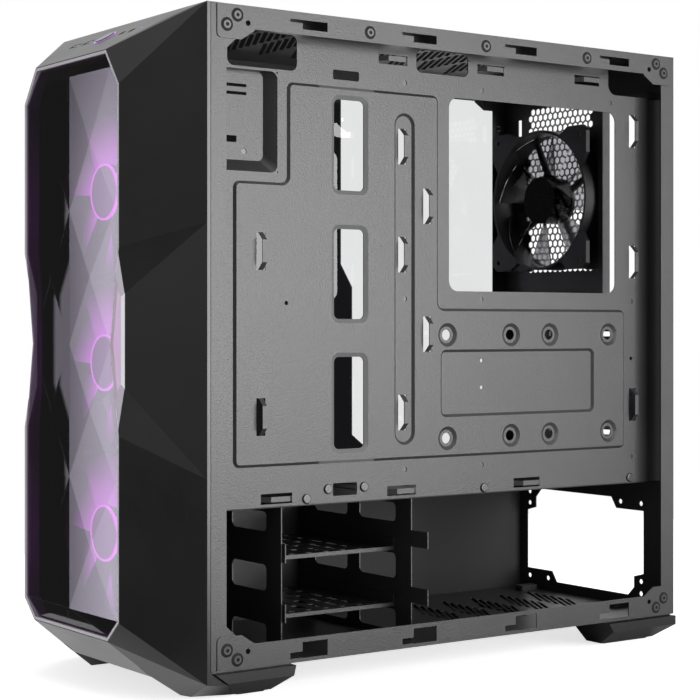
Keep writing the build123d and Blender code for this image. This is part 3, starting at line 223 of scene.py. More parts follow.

# %% [markdown]
# The frame is powder coated steel, black with a coarse grain and a satin gloss. Its inner walls
# get a duller copy of that coat whose darker tone is painted shade. The shell and the fans are
# moulded plastic with a finer grain, the small parts are lacquered steel, bare metal and rubber,
# and a matt black is painted shade on the rivets and screws.

# %% Opaque finishes
for name in ("black_steel", "tray_steel"):
    surface(name, (0.021, 0.021, 0.0225), (0.026, 0.026, 0.0275), (0.32, 0.38), grain=0.0009,
            bump=1.0, depth=0.00018)
# A darker, duller copy of the frame coat for the shroud: its darker tone is painted shade.
surface("shaded_inner_steel", (0.012, 0.012, 0.013), (0.016, 0.016, 0.017), (0.5, 0.58), grain=0.0011,
        bump=0.6, Specular_IOR_Level=0.22)
surface("black_plastic", (0.006, 0.006, 0.0066), (0.0085, 0.0085, 0.0092), (0.24, 0.33),
        grain=0.0005, bump=0.1)
surface("fan_plastic", (0.007, 0.007, 0.008), (0.01, 0.01, 0.011), (0.35, 0.45), grain=0.0006)
surface("front_blades", (0.05, 0.04, 0.06), (0.07, 0.06, 0.08), (0.2, 0.3), bump=0.05)
surface("button_plastic", (0.03, 0.03, 0.033), (0.04, 0.04, 0.043), (0.12, 0.2), bump=0.05)
surface("grey_trim", (0.8, 0.79, 0.82), (0.85, 0.84, 0.87), (0.3, 0.38), bump=0.06)
surface("filter_cloth", (0.015, 0.015, 0.016), (0.025, 0.025, 0.026), (0.6, 0.75), grain=0.0004)
surface("circuit_board", (0.01, 0.028, 0.016), (0.014, 0.036, 0.02), (0.3, 0.4))
surface("port_metal", (0.55, 0.55, 0.56), (0.62, 0.62, 0.63), (0.25, 0.35), Metallic=1.0)
surface("jack_plastic", (0.012, 0.012, 0.013), (0.018, 0.018, 0.019), (0.3, 0.4))
surface("standoff_steel", (0.05, 0.05, 0.052), (0.07, 0.07, 0.072), (0.3, 0.4), Metallic=1.0)
surface("screw_steel", (0.02, 0.02, 0.021), (0.032, 0.032, 0.033), (0.22, 0.32))
surface("rivet_steel", (0.024, 0.024, 0.025), (0.03, 0.03, 0.031), (0.3, 0.38))
# Matt black for the hollows and sides of rivets and screws: painted shade.
surface("shade_black", (0.006, 0.006, 0.0065), (0.009, 0.009, 0.0095), (0.55, 0.65),
        Specular_IOR_Level=0.15)
surface("rubber_pad", (0.012, 0.012, 0.012), (0.02, 0.02, 0.02), (0.75, 0.88), grain=0.0008)
print("opaque finishes:", sorted(finishes))

# %% [markdown]
# The window and the side panel are acrylic: they pass light, with a smoky tint on the window. The
# blades of the rear fan are smoky acrylic too. The rings of the front fans and of the power button
# are light pipes: frosted plastic that glows from a lamp behind it, so the plastic gives the light.

# %% Clear and lit finishes
ACRYLIC = {"Transmission_Weight": 1.0, "IOR": 1.49}
surface("smoked_window", (0.12, 0.105, 0.135), (0.13, 0.115, 0.145), (0.0, 0.01), bump=0.0,
        marks=0.03, **ACRYLIC)
surface("clear_panel", (0.82, 0.825, 0.83), (0.84, 0.845, 0.85), (0.0, 0.01), bump=0.0,
        marks=0.03, Specular_IOR_Level=0.02, **ACRYLIC)
surface("clear_blades", (0.4, 0.4, 0.42), (0.46, 0.46, 0.48), (0.08, 0.14), bump=0.0, **ACRYLIC)
CLOUD_LIFT = 1.08


def lit(name, colour, glow, strength):
    """Frosted light pipe: a pale plastic that also gives light."""
    surface(name, colour, tuple(min(1.0, c * CLOUD_LIFT) for c in colour), (0.3, 0.4), bump=0.05)
    shader = shader_of(name)[1]
    shader.inputs["Emission Color"].default_value = (*glow, 1.0)
    shader.inputs["Emission Strength"].default_value = strength


lit("fan_light", (0.8, 0.4, 0.75), (0.95, 0.08, 1.0), 4.5)
lit("button_light", (0.5, 0.3, 0.6), (0.55, 0.2, 0.9), 0.5)
print("all finishes:", len(finishes))

# %% [markdown]
# ## Finishes that change over a piece
# Some pieces have two colours, some carry painted shade or painted light in one place, and some
# glow
# in one place only. A mask says where: it is 1 in that place and 0 elsewhere. It could be painted
# as an image, but here each mask is a rule, worked out from where a point lies or which way the
# surface faces, so it stays sharp and moves with the piece.

# %% Masks put to use
BLACK, WHITE = (0.0, 0.0, 0.0), (1.0, 1.0, 1.0)


def axes_of(tree, kind, output):
    """X, Y and Z of a vector that a kind of node gives."""
    axes = make(tree, "ShaderNodeSeparateXYZ")
    join(tree, make(tree, kind).outputs[output], axes.inputs[0])
    return tuple(axes.outputs)


def place_axes(tree):
    """Where a point lies."""
    return axes_of(tree, "ShaderNodeTexCoord", "Object")


def facing_axes(tree):
    """Which way a flat face of the mesh looks."""
    return axes_of(tree, "ShaderNodeNewGeometry", "True Normal")


def paint_where(name, mask, colour):
    """Paint a finish with a second colour where the mask is 1."""
    tree, shader = shader_of(name)
    base = shader.inputs["Base Color"]
    join(tree, mixed(tree, mask, base.links[0].from_socket, colour), base)
    print("second colour on:", name)


def glow_where(name, mask, colour, strength):
    """Let a finish give light where the mask is 1."""
    tree, shader = shader_of(name)
    join(tree, mixed(tree, mask, BLACK, colour), shader.inputs["Emission Color"])
    shader.inputs["Emission Strength"].default_value = strength
    print("light on:", name)


print("uses of a mask:", [helper.__name__ for helper in (paint_where, glow_where)])

# %% [markdown]
# The lit rings shine on the blades of the front fans. Letting light bounce between ring and blade
# would be slow and grainy, so the blades give the haze themselves, brightest at the ring and fading
# outwards, on the faces that look forwards. The three fans stand in a row, so the height of a point
# is wrapped by the pitch of the row, as if every point were on the lowest fan.

# %% Haze on the front fans
FAN_LOW, FAN_PITCH = 107.0 * MM, 120.2 * MM
HAZE_START, HAZE_END, HAZE_NEAR, HAZE_FAR = 0.019, 0.06, 3.0, 0.16
HUB_START, HUB_END, HUB_SHARE = 0.018, 0.0205, 0.2
FORWARD_START, FORWARD_FULL = -0.05, -0.3


def from_axis(tree, x, z, axis):
    """Distance of a point from an axis along Y, which is given by its x and z."""
    flat = make(tree, "ShaderNodeCombineXYZ")
    join(tree, x, flat.inputs["X"])
    join(tree, z, flat.inputs["Z"])
    reach = make(tree, "ShaderNodeVectorMath", {1: (axis[0], 0.0, axis[1])}, operation="DISTANCE")
    join(tree, flat.outputs[0], reach.inputs[0])
    return reach.outputs["Value"]


tree = shader_of("front_blades")[0]
x, _, z = place_axes(tree)
row = maths(tree, "WRAP", z, FAN_LOW - FAN_PITCH / 2, FAN_LOW + FAN_PITCH / 2)
radius = from_axis(tree, x, row, (0.0, FAN_LOW))
fade = ramp(tree, radius, HAZE_START, HAZE_END, 1.0, HAZE_FAR / HAZE_NEAR,
            interpolation_type="SMOOTHSTEP")
hub = ramp(tree, radius, HUB_START, HUB_END, HUB_SHARE)
_, ahead, _ = axes_of(tree, "ShaderNodeNewGeometry", "Normal")
forward = ramp(tree, ahead, FORWARD_START, FORWARD_FULL)
glow_where("front_blades", times(tree, fade, hub, forward), (0.85, 0.09, 0.95), HAZE_NEAR)

# %% [markdown]
# Two clear pieces are black in places. The hub of the rear fan is moulded in black, inside a circle
# about its axis. The front of the side panel is printed black on its back, up to an edge that steps
# back once half way down and once more near the shroud. The masks drive the colour alone, and a
# clear solid of a black colour lets no light through.

# %% Black parts of the clear pieces
DYE = (0.008, 0.008, 0.009)
REAR_FAN, HUB_INSIDE, HUB_OUTSIDE = (-29.7 * MM, 360.9 * MM), 0.0222, 0.0224
UPPER_EDGE, LOWER_EDGE, STEP_TOP, STEP_BOTTOM = 0.0603, 0.0719, 0.3053, 0.2861
CORNER_REACH, CORNER_TOP, CORNER_BOTTOM = 0.066, 0.161, 0.11
tree = shader_of("clear_blades")[0]
x, _, z = place_axes(tree)
hub = ramp(tree, from_axis(tree, x, z, REAR_FAN), HUB_OUTSIDE, HUB_INSIDE)
paint_where("clear_blades", hub, DYE)
tree = shader_of("clear_panel")[0]
_, y, z = place_axes(tree)
step = ramp(tree, z, STEP_TOP, STEP_BOTTOM, UPPER_EDGE, LOWER_EDGE)
corner = ramp(tree, z, CORNER_TOP, CORNER_BOTTOM, 0.0, CORNER_REACH)
printed = maths(tree, "LESS_THAN", y, maths(tree, "ADD", step, corner))
paint_where("clear_panel", printed, DYE)

# %% [markdown]
# Light that enters a clear sheet leaves it again at its cut edges. Where the window bends back at
# the waist its surface turns to the side, so a mask on the normal picks out these facets, frosts
# them and lights them.

# %% Lit edges of the window
SIDE_START, SIDE_FULL, FROST, EDGE_LIGHT = 0.4, 0.6, 0.7, 0.34
tree, shader = shader_of("smoked_window")
sideways = maths(tree, "ABSOLUTE", facing_axes(tree)[0])
frost = ramp(tree, sideways, SIDE_START, SIDE_FULL, 0.0, FROST)
rough = shader.inputs["Roughness"]
join(tree, maths(tree, "MAXIMUM", rough.links[0].from_socket, frost), rough)
edge = ramp(tree, sideways, SIDE_START, SIDE_FULL)
glow_where("smoked_window", edge, (1.0, 0.84, 1.0), EDGE_LIGHT)

# %% [markdown]
# The sides of the trim get a darker lilac grey, painted shade on the faces that turn away from the
# front, while the front keeps its pale colour. The same kind of mask on the normal mixes the two.

# %% Painted shade on the sides of the trim
LIT_FRONT_END, SHADED_SIDE_START = -0.7, -0.45
tree = shader_of("grey_trim")[0]
_, ahead, _ = facing_axes(tree)
# The darker lilac grey on the sides is painted shade.
paint_where("grey_trim", ramp(tree, ahead, LIT_FRONT_END, SHADED_SIDE_START), (0.36, 0.32, 0.38))

# %% [markdown]
# The sloping rims of the three cable holes get a lighter grey, painted light that stands in for the
# light these slopes catch. One mask finds the strip of the tray with the holes, and a mask on the
# normal finds the slopes in it.

# %% Painted light on the rims of the cable holes
STRIP_MIDDLE, STRIP_HALF, SLOPE_MIDDLE, SLOPE_HALF = -0.071, 0.024, 0.74, 0.22
tree = shader_of("tray_steel")[0]
_, y, _ = place_axes(tree)
strip = maths(tree, "COMPARE", y, STRIP_MIDDLE, STRIP_HALF)
lit_rim_slope = maths(tree, "COMPARE", facing_axes(tree)[0], SLOPE_MIDDLE, SLOPE_HALF)
# The lighter grey on the slopes is painted light.
paint_where("tray_steel", times(tree, strip, lit_rim_slope), (0.1, 0.1, 0.102))

# %% [markdown]
# ## Finish on every solid
# The record gives each solid a slot, and the slots carry the same names as the finishes. Two solids
# get a finish of their own: the shroud, an inner wall whose darker copy of the frame coat is
# painted shade, and the tray, whose rims carry painted light.

# %% Assign the finishes
for name, solid in nodes.items():
    solid.data.materials.clear()
    solid.data.materials.append(finishes[slots[name]])
nodes["psu_shroud"].data.materials[0] = finishes["shaded_inner_steel"]
nodes["motherboard_tray"].data.materials[0] = finishes["tray_steel"]
print("dressed:", len(nodes))

# %% [markdown]
# ## Softened edges
# No moulded or pressed edge is a perfect knife edge. A Weld modifier joins the loose triangles of a
# solid, and a Bevel modifier then rounds its sharp edges by a fraction of a millimetre.

# %% Round the edges of the moulded pieces
WELD_REACH, SHARP_ANGLE = 0.00002, math.radians(9)
softened = {"front_shell": 0.35, "window_trim": 0.2, "foot_front_right": 0.5,
            "foot_front_left": 0.5, "foot_rear_right": 0.5, "foot_rear_left": 0.5}
for name, width in softened.items():
    weld = nodes[name].modifiers.new("weld", "WELD")
    weld.merge_threshold = WELD_REACH
    bevel = nodes[name].modifiers.new("rounded edges", "BEVEL")
    bevel.width = width * MM
    bevel.segments = 2
    bevel.limit_method = "ANGLE"
    bevel.angle_limit = SHARP_ANGLE
    bevel.harden_normals = False
print("rounded:", sorted(softened))

# %% [markdown]
# ## Facets of the window
# The window is one sheet pressed into shallow pyramids. A mirror shows tilts far too small to
# measure, so the dressed window is a copy of the solid with its middle line raised by about half a
# millimetre and its tips a little more, most on the right half.

# %% Raise the middle line and the tips
RIDGE, EDGE = 0.6 * MM, 67.3 * MM
TIP_X, TIP_REACH, RIGHT_RISE, LEFT_RISE = 30.5 * MM, 0.2 * MM, 0.28 * MM, 0.09 * MM
pressed = nodes["front_window"].data.copy()
pressed.name = "pressed_window"
for vertex in pressed.vertices:
    side = abs(vertex.co.x)
    vertex.co.y -= RIDGE * max(0.0, 1.0 - side / EDGE)
    if abs(side - TIP_X) < TIP_REACH:
        vertex.co.y -= RIGHT_RISE if vertex.co.x > 0 else LEFT_RISE
window = bpy.data.objects.new("pressed_window", pressed)
bpy.context.scene.collection.objects.link(window)
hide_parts("front_window")
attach(window, "front_panel")
print("window triangles:", len(pressed.polygons))

# %% [markdown]
# ## Dust filter cloth
# The filter below the power supply is a woven nylon cloth in a frame. A picture of a weave would
# look flat from near by, so the threads are real: a node tree lays a line of points, sets a thin
# bar on each, does the same in the other direction and joins the two layers.

# %% Weave tree
weave, w_in, w_out = new_group(
    "woven_cloth", "GeometryNodeTree",
    [("Width", "NodeSocketFloat", 0.05), ("Length", "NodeSocketFloat", 0.08),
     ("Pitch", "NodeSocketFloat", 0.0015), ("Thread", "NodeSocketFloat", 0.0002),
     ("Material", "NodeSocketMaterial", None)],
    [("Geometry", "NodeSocketGeometry")])
OVER, QUARTER = 0.00015, math.pi / 2


def thread_layer(along, across, axis, turn, lift):
    """Threads that run along one side of the cloth, spread over the other side."""
    spread, pitch = w_in.outputs[across], w_in.outputs["Pitch"]
    start = make(weave, "ShaderNodeCombineXYZ", {"Z": lift})
    join(weave, maths(weave, "MULTIPLY", spread, -0.5), start.inputs[axis])
    step = make(weave, "ShaderNodeCombineXYZ")
    join(weave, pitch, step.inputs[axis])
    points = make(weave, "GeometryNodeMeshLine")
    join(weave, maths(weave, "DIVIDE", spread, pitch), points.inputs["Count"])
    join(weave, start.outputs[0], points.inputs["Start Location"])
    join(weave, step.outputs[0], points.inputs["Offset"])
    bar = make(weave, "GeometryNodeMeshCylinder", {"Vertices": 5})
    join(weave, w_in.outputs["Thread"], bar.inputs["Radius"])
    join(weave, w_in.outputs[along], bar.inputs["Depth"])
    place = make(weave, "GeometryNodeInstanceOnPoints", {"Rotation": turn})
    join(weave, points.outputs["Mesh"], place.inputs["Points"])
    join(weave, bar.outputs["Mesh"], place.inputs["Instance"])
    return place.outputs["Instances"]


layers = make(weave, "GeometryNodeJoinGeometry")
join(weave, thread_layer("Length", "Width", "X", (QUARTER, 0, 0), OVER), layers.inputs[0])
join(weave, thread_layer("Width", "Length", "Y", (0, QUARTER, 0), -OVER), layers.inputs[0])
print("layers of thread:", len(layers.inputs[0].links))

# %% [markdown]
# A tree ends by turning its instances into plain geometry, which an export needs, and by setting
# the material. Its result is then taken over as a plain mesh, and the object that grew it is
# removed.

# %% End of a tree, and its plain mesh
def realized(tree, geometry):
    """Instances turned into plain geometry."""
    item = make(tree, "GeometryNodeRealizeInstances")
    join(tree, geometry, item.inputs[0])
    return item.outputs[0]


def coated(tree, geometry, material, where=None):
    """Geometry with a material, on every face or on the faces of a selection."""
    item = make(tree, "GeometryNodeSetMaterial")
    join(tree, geometry, item.inputs["Geometry"])
    join(tree, material, item.inputs["Material"])
    if where is not None:
        join(tree, where, item.inputs["Selection"])
    return item.outputs[0]


def grown(name, tree, values, host=None):
    """Plain mesh object made by a geometry node tree, with its inputs set by identifier."""
    mesh = host or bpy.data.meshes.new(name + "_start")
    source = bpy.data.objects.new(name + "_start", mesh)
    bpy.context.scene.collection.objects.link(source)
    modifier = source.modifiers.new("grow", "NODES")
    modifier.node_group = tree
    inputs = [item for item in tree.interface.items_tree if item.in_out == "INPUT"]
    sockets = {item.name: item.identifier for item in inputs}
    for label, value in values.items():
        modifier[sockets[label]] = value
    bpy.context.view_layer.update()
    depsgraph = bpy.context.evaluated_depsgraph_get()
    result = bpy.data.meshes.new_from_object(source.evaluated_get(depsgraph), depsgraph=depsgraph)
    bpy.data.objects.remove(source)
    piece = bpy.data.objects.new(name, result)
    result.name = name
    bpy.context.scene.collection.objects.link(piece)
    return piece


def triangles(piece):
    """Number of triangles that the faces of a piece come to."""
    return sum(len(face.vertices) - 2 for face in piece.data.polygons)


threads = coated(weave, realized(weave, layers.outputs[0]), w_in.outputs["Material"])
join(weave, threads, w_out.inputs["Geometry"])
print("tree:", weave.name, "nodes:", len(weave.nodes))

# %% Lay the cloth in the four windows of the filter frame
PANES_X, PANES_Y = (-0.027, 0.027), (0.1025, 0.1875)
PANE_WIDTH, PANE_LENGTH, PANE_PITCH, THREAD = 0.0505, 0.0815, 0.0015, 0.0002


def woven(name, width, length, pitch, middle):
    """Cloth of a size, laid flat about its middle."""
    cloth = grown(name, weave, {"Width": width, "Length": length, "Pitch": pitch,
                                "Thread": THREAD, "Material": finishes["filter_cloth"]})
    cloth.data.transform(Matrix.Translation(middle))
    return cloth


low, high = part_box("filter_mesh")
panes = [woven("pane", PANE_WIDTH, PANE_LENGTH, PANE_PITCH, (x, y, (low[2] + high[2]) / 2))
         for x in PANES_X for y in PANES_Y]
bpy.ops.object.select_all(action="DESELECT")
for pane in panes:
    pane.select_set(True)
bpy.context.view_layer.objects.active = panes[0]
bpy.ops.object.join()
cloth = panes[0]
cloth.name = "filter_cloth_weave"
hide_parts("filter_mesh")
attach(cloth, "dust_filter")
print("cloth triangles:", triangles(cloth))

# %% [markdown]
# The filter on the roof is one closer cloth, as large as its frame. Its solid gives the size and
# the place, so the same tree grows it, and only the pitch is new.

# %% Lay a closer cloth in the roof filter
ROOF_PITCH = 0.0011
low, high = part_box("roof_filter_mesh")
middle = [(a + b) / 2 for a, b in zip(low, high)]
roof_cloth = woven("roof_filter_weave", high[0] - low[0], high[1] - low[1], ROOF_PITCH, middle)
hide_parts("roof_filter_mesh")
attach(roof_cloth, "roof_filter")
print("roof cloth triangles:", triangles(roof_cloth))

# %% [markdown]
# ## Rivets and screws
# The solids carry each rivet and screw as a plain disc on a shank. Its place and the way it faces
# can be read from the solid, so a node tree sets a finer head on each place: a point for every
# fixing, an arrow stored on the point, and the head turned to the arrow. The heads are profiles
# turned about an axis, and the marked faces get a matt black: painted shade on the slopes and
# hollow of a rivet, on the side of a screw head and in its cross. A boolean takes two bars out of
# each screw for its cross. The bars overlap, and in the result the top of the head is still whole,
# with the cross unseen below it. To open it, the bars would have to be cut one by one.

# %% Cross in the head
CUT_HEIGHT = 0.004
heads, h_in, h_out = new_group(
    "fixing_heads", "GeometryNodeTree",
    [("Points", "NodeSocketGeometry", None), ("Head", "NodeSocketObject", None),
     ("Cross Length", "NodeSocketFloat", 0.0), ("Cross Width", "NodeSocketFloat", 0.0011),
     ("Cross Floor", "NodeSocketFloat", -0.0014), ("Material", "NodeSocketMaterial", None),
     ("Shade Material", "NodeSocketMaterial", None)],
    [("Geometry", "NodeSocketGeometry")])
form = make(heads, "GeometryNodeObjectInfo")
join(heads, h_in.outputs["Head"], form.inputs["Object"])
cutter = make(heads, "GeometryNodeJoinGeometry")
for long_axis, short_axis in (("X", "Y"), ("Y", "X")):
    bar_size = make(heads, "ShaderNodeCombineXYZ", {"Z": CUT_HEIGHT})
    join(heads, h_in.outputs["Cross Length"], bar_size.inputs[long_axis])
    join(heads, h_in.outputs["Cross Width"], bar_size.inputs[short_axis])
    bar = make(heads, "GeometryNodeMeshCube")
    join(heads, bar_size.outputs[0], bar.inputs["Size"])
    join(heads, bar.outputs["Mesh"], cutter.inputs[0])
# The walls of the cross are marked for painted shade.
marked = make(heads, "GeometryNodeStoreNamedAttribute", {"Name": "skirt"}, data_type="BOOLEAN",
              domain="FACE")
marked.inputs["Value"].default_value = True
join(heads, cutter.outputs[0], marked.inputs["Geometry"])
lift = make(heads, "ShaderNodeCombineXYZ")
rise = maths(heads, "ADD", h_in.outputs["Cross Floor"], CUT_HEIGHT / 2)
join(heads, rise, lift.inputs["Z"])
raised = make(heads, "GeometryNodeTransform")
join(heads, marked.outputs["Geometry"], raised.inputs["Geometry"])
join(heads, lift.outputs[0], raised.inputs["Translation"])
crossed = make(heads, "GeometryNodeMeshBoolean", operation="DIFFERENCE")
join(heads, form.outputs["Geometry"], crossed.inputs["Mesh 1"])
join(heads, raised.outputs["Geometry"], crossed.inputs["Mesh 2"])
print("bars of the cross:", len(cutter.inputs[0].links))

# %% [markdown]
# A rivet has no cross, so a switch takes the plain head where the cross has no length. The head is
# then set on every point and turned to the arrow that the point carries.

# %% Head on every point
has_cross = make(heads, "FunctionNodeCompare", {1: 0.0}, data_type="FLOAT",
                 operation="GREATER_THAN")
join(heads, h_in.outputs["Cross Length"], has_cross.inputs[0])
chosen = make(heads, "GeometryNodeSwitch", input_type="GEOMETRY")
join(heads, has_cross.outputs[0], chosen.inputs["Switch"])
join(heads, form.outputs["Geometry"], chosen.inputs["False"])
join(heads, crossed.outputs["Mesh"], chosen.inputs["True"])
facing = make(heads, "GeometryNodeInputNamedAttribute", {"Name": "facing"},
              data_type="FLOAT_VECTOR")
aim = make(heads, "FunctionNodeAlignRotationToVector", axis="Z")
join(heads, facing.outputs["Attribute"], aim.inputs["Vector"])
place = make(heads, "GeometryNodeInstanceOnPoints")
join(heads, h_in.outputs["Points"], place.inputs["Points"])
join(heads, chosen.outputs[0], place.inputs["Instance"])
join(heads, aim.outputs["Rotation"], place.inputs["Rotation"])
# Marked faces get the matt black of painted shade.
skirt = make(heads, "GeometryNodeInputNamedAttribute", {"Name": "skirt"}, data_type="BOOLEAN")
plain = coated(heads, realized(heads, place.outputs["Instances"]), h_in.outputs["Material"])
two_tone = coated(heads, plain, h_in.outputs["Shade Material"], skirt.outputs["Attribute"])
join(heads, two_tone, h_out.inputs["Geometry"])
print("tree:", heads.name, "nodes:", len(heads.nodes))

# %% [markdown]
# The points come from the solids. The triangles of a solid that share corners form one rivet or
# screw, so the corners are gathered into pieces, and the middle of each piece, moved to the end
# that its arrow points to, is the place of a head.

# %% Read the places
def loose_pieces(mesh):
    """Corners of each loose piece of a mesh, found by joining the triangles that share corners."""
    keys, ids = {}, []
    for vertex in mesh.vertices:
        ids.append(keys.setdefault(tuple(round(c, 6) for c in vertex.co), len(keys)))
    parent = list(range(len(keys)))

    def root(i):
        while parent[i] != i:
            i = parent[i]
        return i

    for face in mesh.polygons:
        first = root(ids[face.vertices[0]])
        for v in face.vertices:
            parent[root(ids[v])] = first
    pieces = {}
    for key, i in keys.items():
        pieces.setdefault(root(i), []).append(Vector(key))
    return pieces.values()


def fixing_points(node, arrow):
    """Mesh of one point for each fixing of a solid, at the end that the arrow points to."""
    points, arrows = [], []
    for corners in loose_pieces(nodes[node].data):
        low = Vector([min(c[i] for c in corners) for i in range(3)])
        high = Vector([max(c[i] for c in corners) for i in range(3)])
        point = (low + high) / 2
        way = arrow(point)
        end = max(c.dot(way) for c in corners)
        points.append(point + way * (end - point.dot(way)))
        arrows.append(way)
    host = bpy.data.meshes.new(node + "_places")
    host.from_pydata(points, [], [])
    stored = host.attributes.new("facing", "FLOAT_VECTOR", "POINT")
    stored.data.foreach_set("vector", [c for way in arrows for c in way])
    return host


print("rivets:", len(loose_pieces(nodes["chassis_rivets"].data)))

# %% [markdown]
# A head is round, so its profile is enough: pairs of a radius and a height in millimetres, from the
# axis below to the axis above, turned about Z. The rivet is a raised ring with a hollow middle on a
# thin flange, and the screws have a straight-sided head with a rounded rim.

# %% Turn the profiles
HEAD_HEIGHT = 2.2


def turned(name, profile, skirt=(), count=32):
    """Closed solid of revolution about Z from a profile in mm, with a list of the rings that get
    painted shade.
    """
    corners, faces, marked = [], [], []
    ring = len(profile) - 2
    for i in range(count):
        turn = 2 * math.pi * i / count
        corners += [(r * MM * math.cos(turn), r * MM * math.sin(turn), h * MM)
                    for r, h in profile[1:-1]]
    bottom, top = len(corners), len(corners) + 1
    corners += [(0, 0, profile[0][1] * MM), (0, 0, profile[-1][1] * MM)]
    for i in range(count):
        a, b = i * ring, (i + 1) % count * ring
        faces.append((bottom, b, a))
        faces += [(a + k, b + k, b + k + 1, a + k + 1) for k in range(ring - 1)]
        faces.append((top, a + ring - 1, b + ring - 1))
        marked += [k in skirt for k in range(ring + 1)]
    mesh = bpy.data.meshes.new(name)
    mesh.from_pydata(corners, [], faces)
    mesh.attributes.new("skirt", "BOOLEAN", "FACE").data.foreach_set("value", marked)
    mesh.update()
    return bpy.data.objects.new(name, mesh)


def pan_head(name, radius, length, shank):
    """Screw with a straight-sided head on a plain shank, its top at the origin."""
    profile = [(0, -length), (shank, -length), (shank, -HEAD_HEIGHT), (radius, -HEAD_HEIGHT),
               (radius, -0.6), (radius - 0.3, -0.15), (radius - 0.9, 0.0), (0, 0.0)]
    # The side and the lower rim of the head get painted shade.
    return turned(name, profile, skirt=(3, 4))


RIVET_PROFILE = [(0, -2.4), (1.6, -2.4), (1.6, -0.7), (4.7, -0.7), (4.6, -0.5), (2.9, -0.25),
                 (2.8, 0.0), (1.3, 0.0), (1.3, -0.5), (0, -0.5)]
# The outer slopes and the hollow middle of a rivet get painted shade.
rivet = turned("rivet_head", RIVET_PROFILE, skirt=(3, 4, 5, 7, 8))
tray_screw = pan_head("tray_screw", radius=3.5, length=6.2, shank=1.4)
front_fan_screw = pan_head("front_fan_screw", radius=3.6, length=6.8, shank=1.8)
rear_fan_screw = pan_head("rear_fan_screw", radius=3.8, length=6.8, shank=1.8)
print("head faces:", len(rivet.data.polygons), len(tray_screw.data.polygons))

# %% Set the heads
NO_CROSS, TRAY_CROSS, FAN_CROSS = 0.0, 0.0042, 0.0044


def outwards(point):
    """Arrow to the nearer side of the case."""
    return Vector((1 if point.x > 0 else -1, 0, 0))


FIXINGS = {
    "chassis_rivets": (rivet, outwards, NO_CROSS, "rivet_steel"),
    "tray_screws": (tray_screw, lambda p: Vector((1, 0, 0)), TRAY_CROSS, "screw_steel"),
    "front_fan_screws": (front_fan_screw, lambda p: Vector((0, -1, 0)), FAN_CROSS, "screw_steel"),
    "rear_fan_screws": (rear_fan_screw, lambda p: Vector((0, 1, 0)), FAN_CROSS, "screw_steel"),
}
for node, (head, arrow, cross, slot) in FIXINGS.items():
    values = {"Head": head, "Cross Length": cross, "Material": finishes[slot],
              "Shade Material": finishes["shade_black"]}
    piece = grown(node + "_heads", heads, values, fixing_points(node, arrow))
    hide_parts(node)
    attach(piece, "chassis")
    print(node, "triangles:", triangles(piece))

# %% [markdown]
# ## Studio
# The case stands on a small white floor in a white room. What a smooth black front shows is mostly
# the room that it mirrors, so the world is laid out by the angle about the case, 0 in front and 90
# to the left, and by height. The side with the camera is dim and darkens downwards. A dark flag
# stands in front and a second one to the far left, and where the two meet stands a bright card with
# a bent edge, which the window mirrors.

# %% World by angle and height
world = bpy.data.worlds.new("studio")
bpy.context.scene.world = world
world.use_nodes = True
sky = world.node_tree
sky.nodes.clear()
out = make(sky, "ShaderNodeOutputWorld")
back = make(sky, "ShaderNodeBackground")
join(sky, back.outputs[0], out.inputs["Surface"])
x, y, height = axes_of(sky, "ShaderNodeTexCoord", "Generated")
turn = maths(sky, "ARCTAN2", times(sky, x, -1.0), times(sky, y, -1.0))
rad = math.radians


def between(source, start, low, high, end):
    """1 from low to high, falling to 0 at the start and the end."""
    return times(sky, ramp(sky, source, start, low), ramp(sky, source, end, high))


def sector(*angles):
    """The same for angles about the case, in degrees."""
    return between(turn, *[rad(angle) for angle in angles])


band = between(height, -0.7, -0.45, 0.45, 0.7)
camera_side = times(sky, sector(-110, -90, 5, 22), band)
front_flag = times(sky, sector(5, 22, 63, 64), band)
left_flag = sector(63, 64, 88, 100)
print("world nodes:", len(sky.nodes))

# %% [markdown]
# The card ends at a straight upright edge, and the edge bends where the mirrored facets meet: a
# little one way at the waist, more the other way towards the top and the bottom. Its tone rises
# away from the edge and falls near the top.

# %% Bright card
WAIST_BEND, TOP_BEND, BOTTOM_BEND = -0.35, 1.3, 1.0
CARD_EDGE, CARD_DIM, CARD_BRIGHT, CARD_TOP = (64.78, 64.68), 0.95, 4.0, 0.58


def shifted(base, amount, reach):
    """Base plus a reach, in degrees, where the amount is 1."""
    return maths(sky, "MULTIPLY_ADD", amount, rad(reach), base)


inward = shifted(turn, between(height, -0.055, -0.032, 0.017, 0.040), WAIST_BEND)
inward = shifted(inward, ramp(sky, height, 0.108, 0.135), TOP_BEND)
inward = shifted(inward, ramp(sky, height, -0.125, -0.155), BOTTOM_BEND)
card = times(sky, ramp(sky, inward, *[rad(angle) for angle in CARD_EDGE]),
             ramp(sky, turn, rad(57.0), rad(59.5)), between(height, -0.26, -0.2, 0.2, 0.26))
card_tone = ramp(sky, turn, rad(63.2), rad(60.9), CARD_DIM, CARD_BRIGHT)
card_level = times(sky, card_tone, ramp(sky, height, 0.08, 0.14, 1.0, CARD_TOP))
print("world nodes:", len(sky.nodes))

# %% [markdown]
# A ray that has met a glossy surface sees this mirrored room. A ray straight from the camera, or
# one through clear plastic, sees plain white, and all other rays get a soft even light.

# %% What each ray sees
ROOM, AMBIENT, FRONT_FLAG, LEFT_FLAG = 0.8, 0.42, 0.06, 0.07
CAMERA_LOW, CAMERA_HIGH, CAMERA_GAIN = 0.02, 0.3, 2.7
CARD_TINT = (1.0, 0.93, 1.1)


def blend(base, target, amount):
    """Level that goes from a base to a target while the amount goes from 0 to 1."""
    item = make(sky, "ShaderNodeMix", data_type="FLOAT")
    for source, place in ((amount, 0), (base, 2), (target, 3)):
        feed(sky, source, item.inputs[place])
    return item.outputs[0]


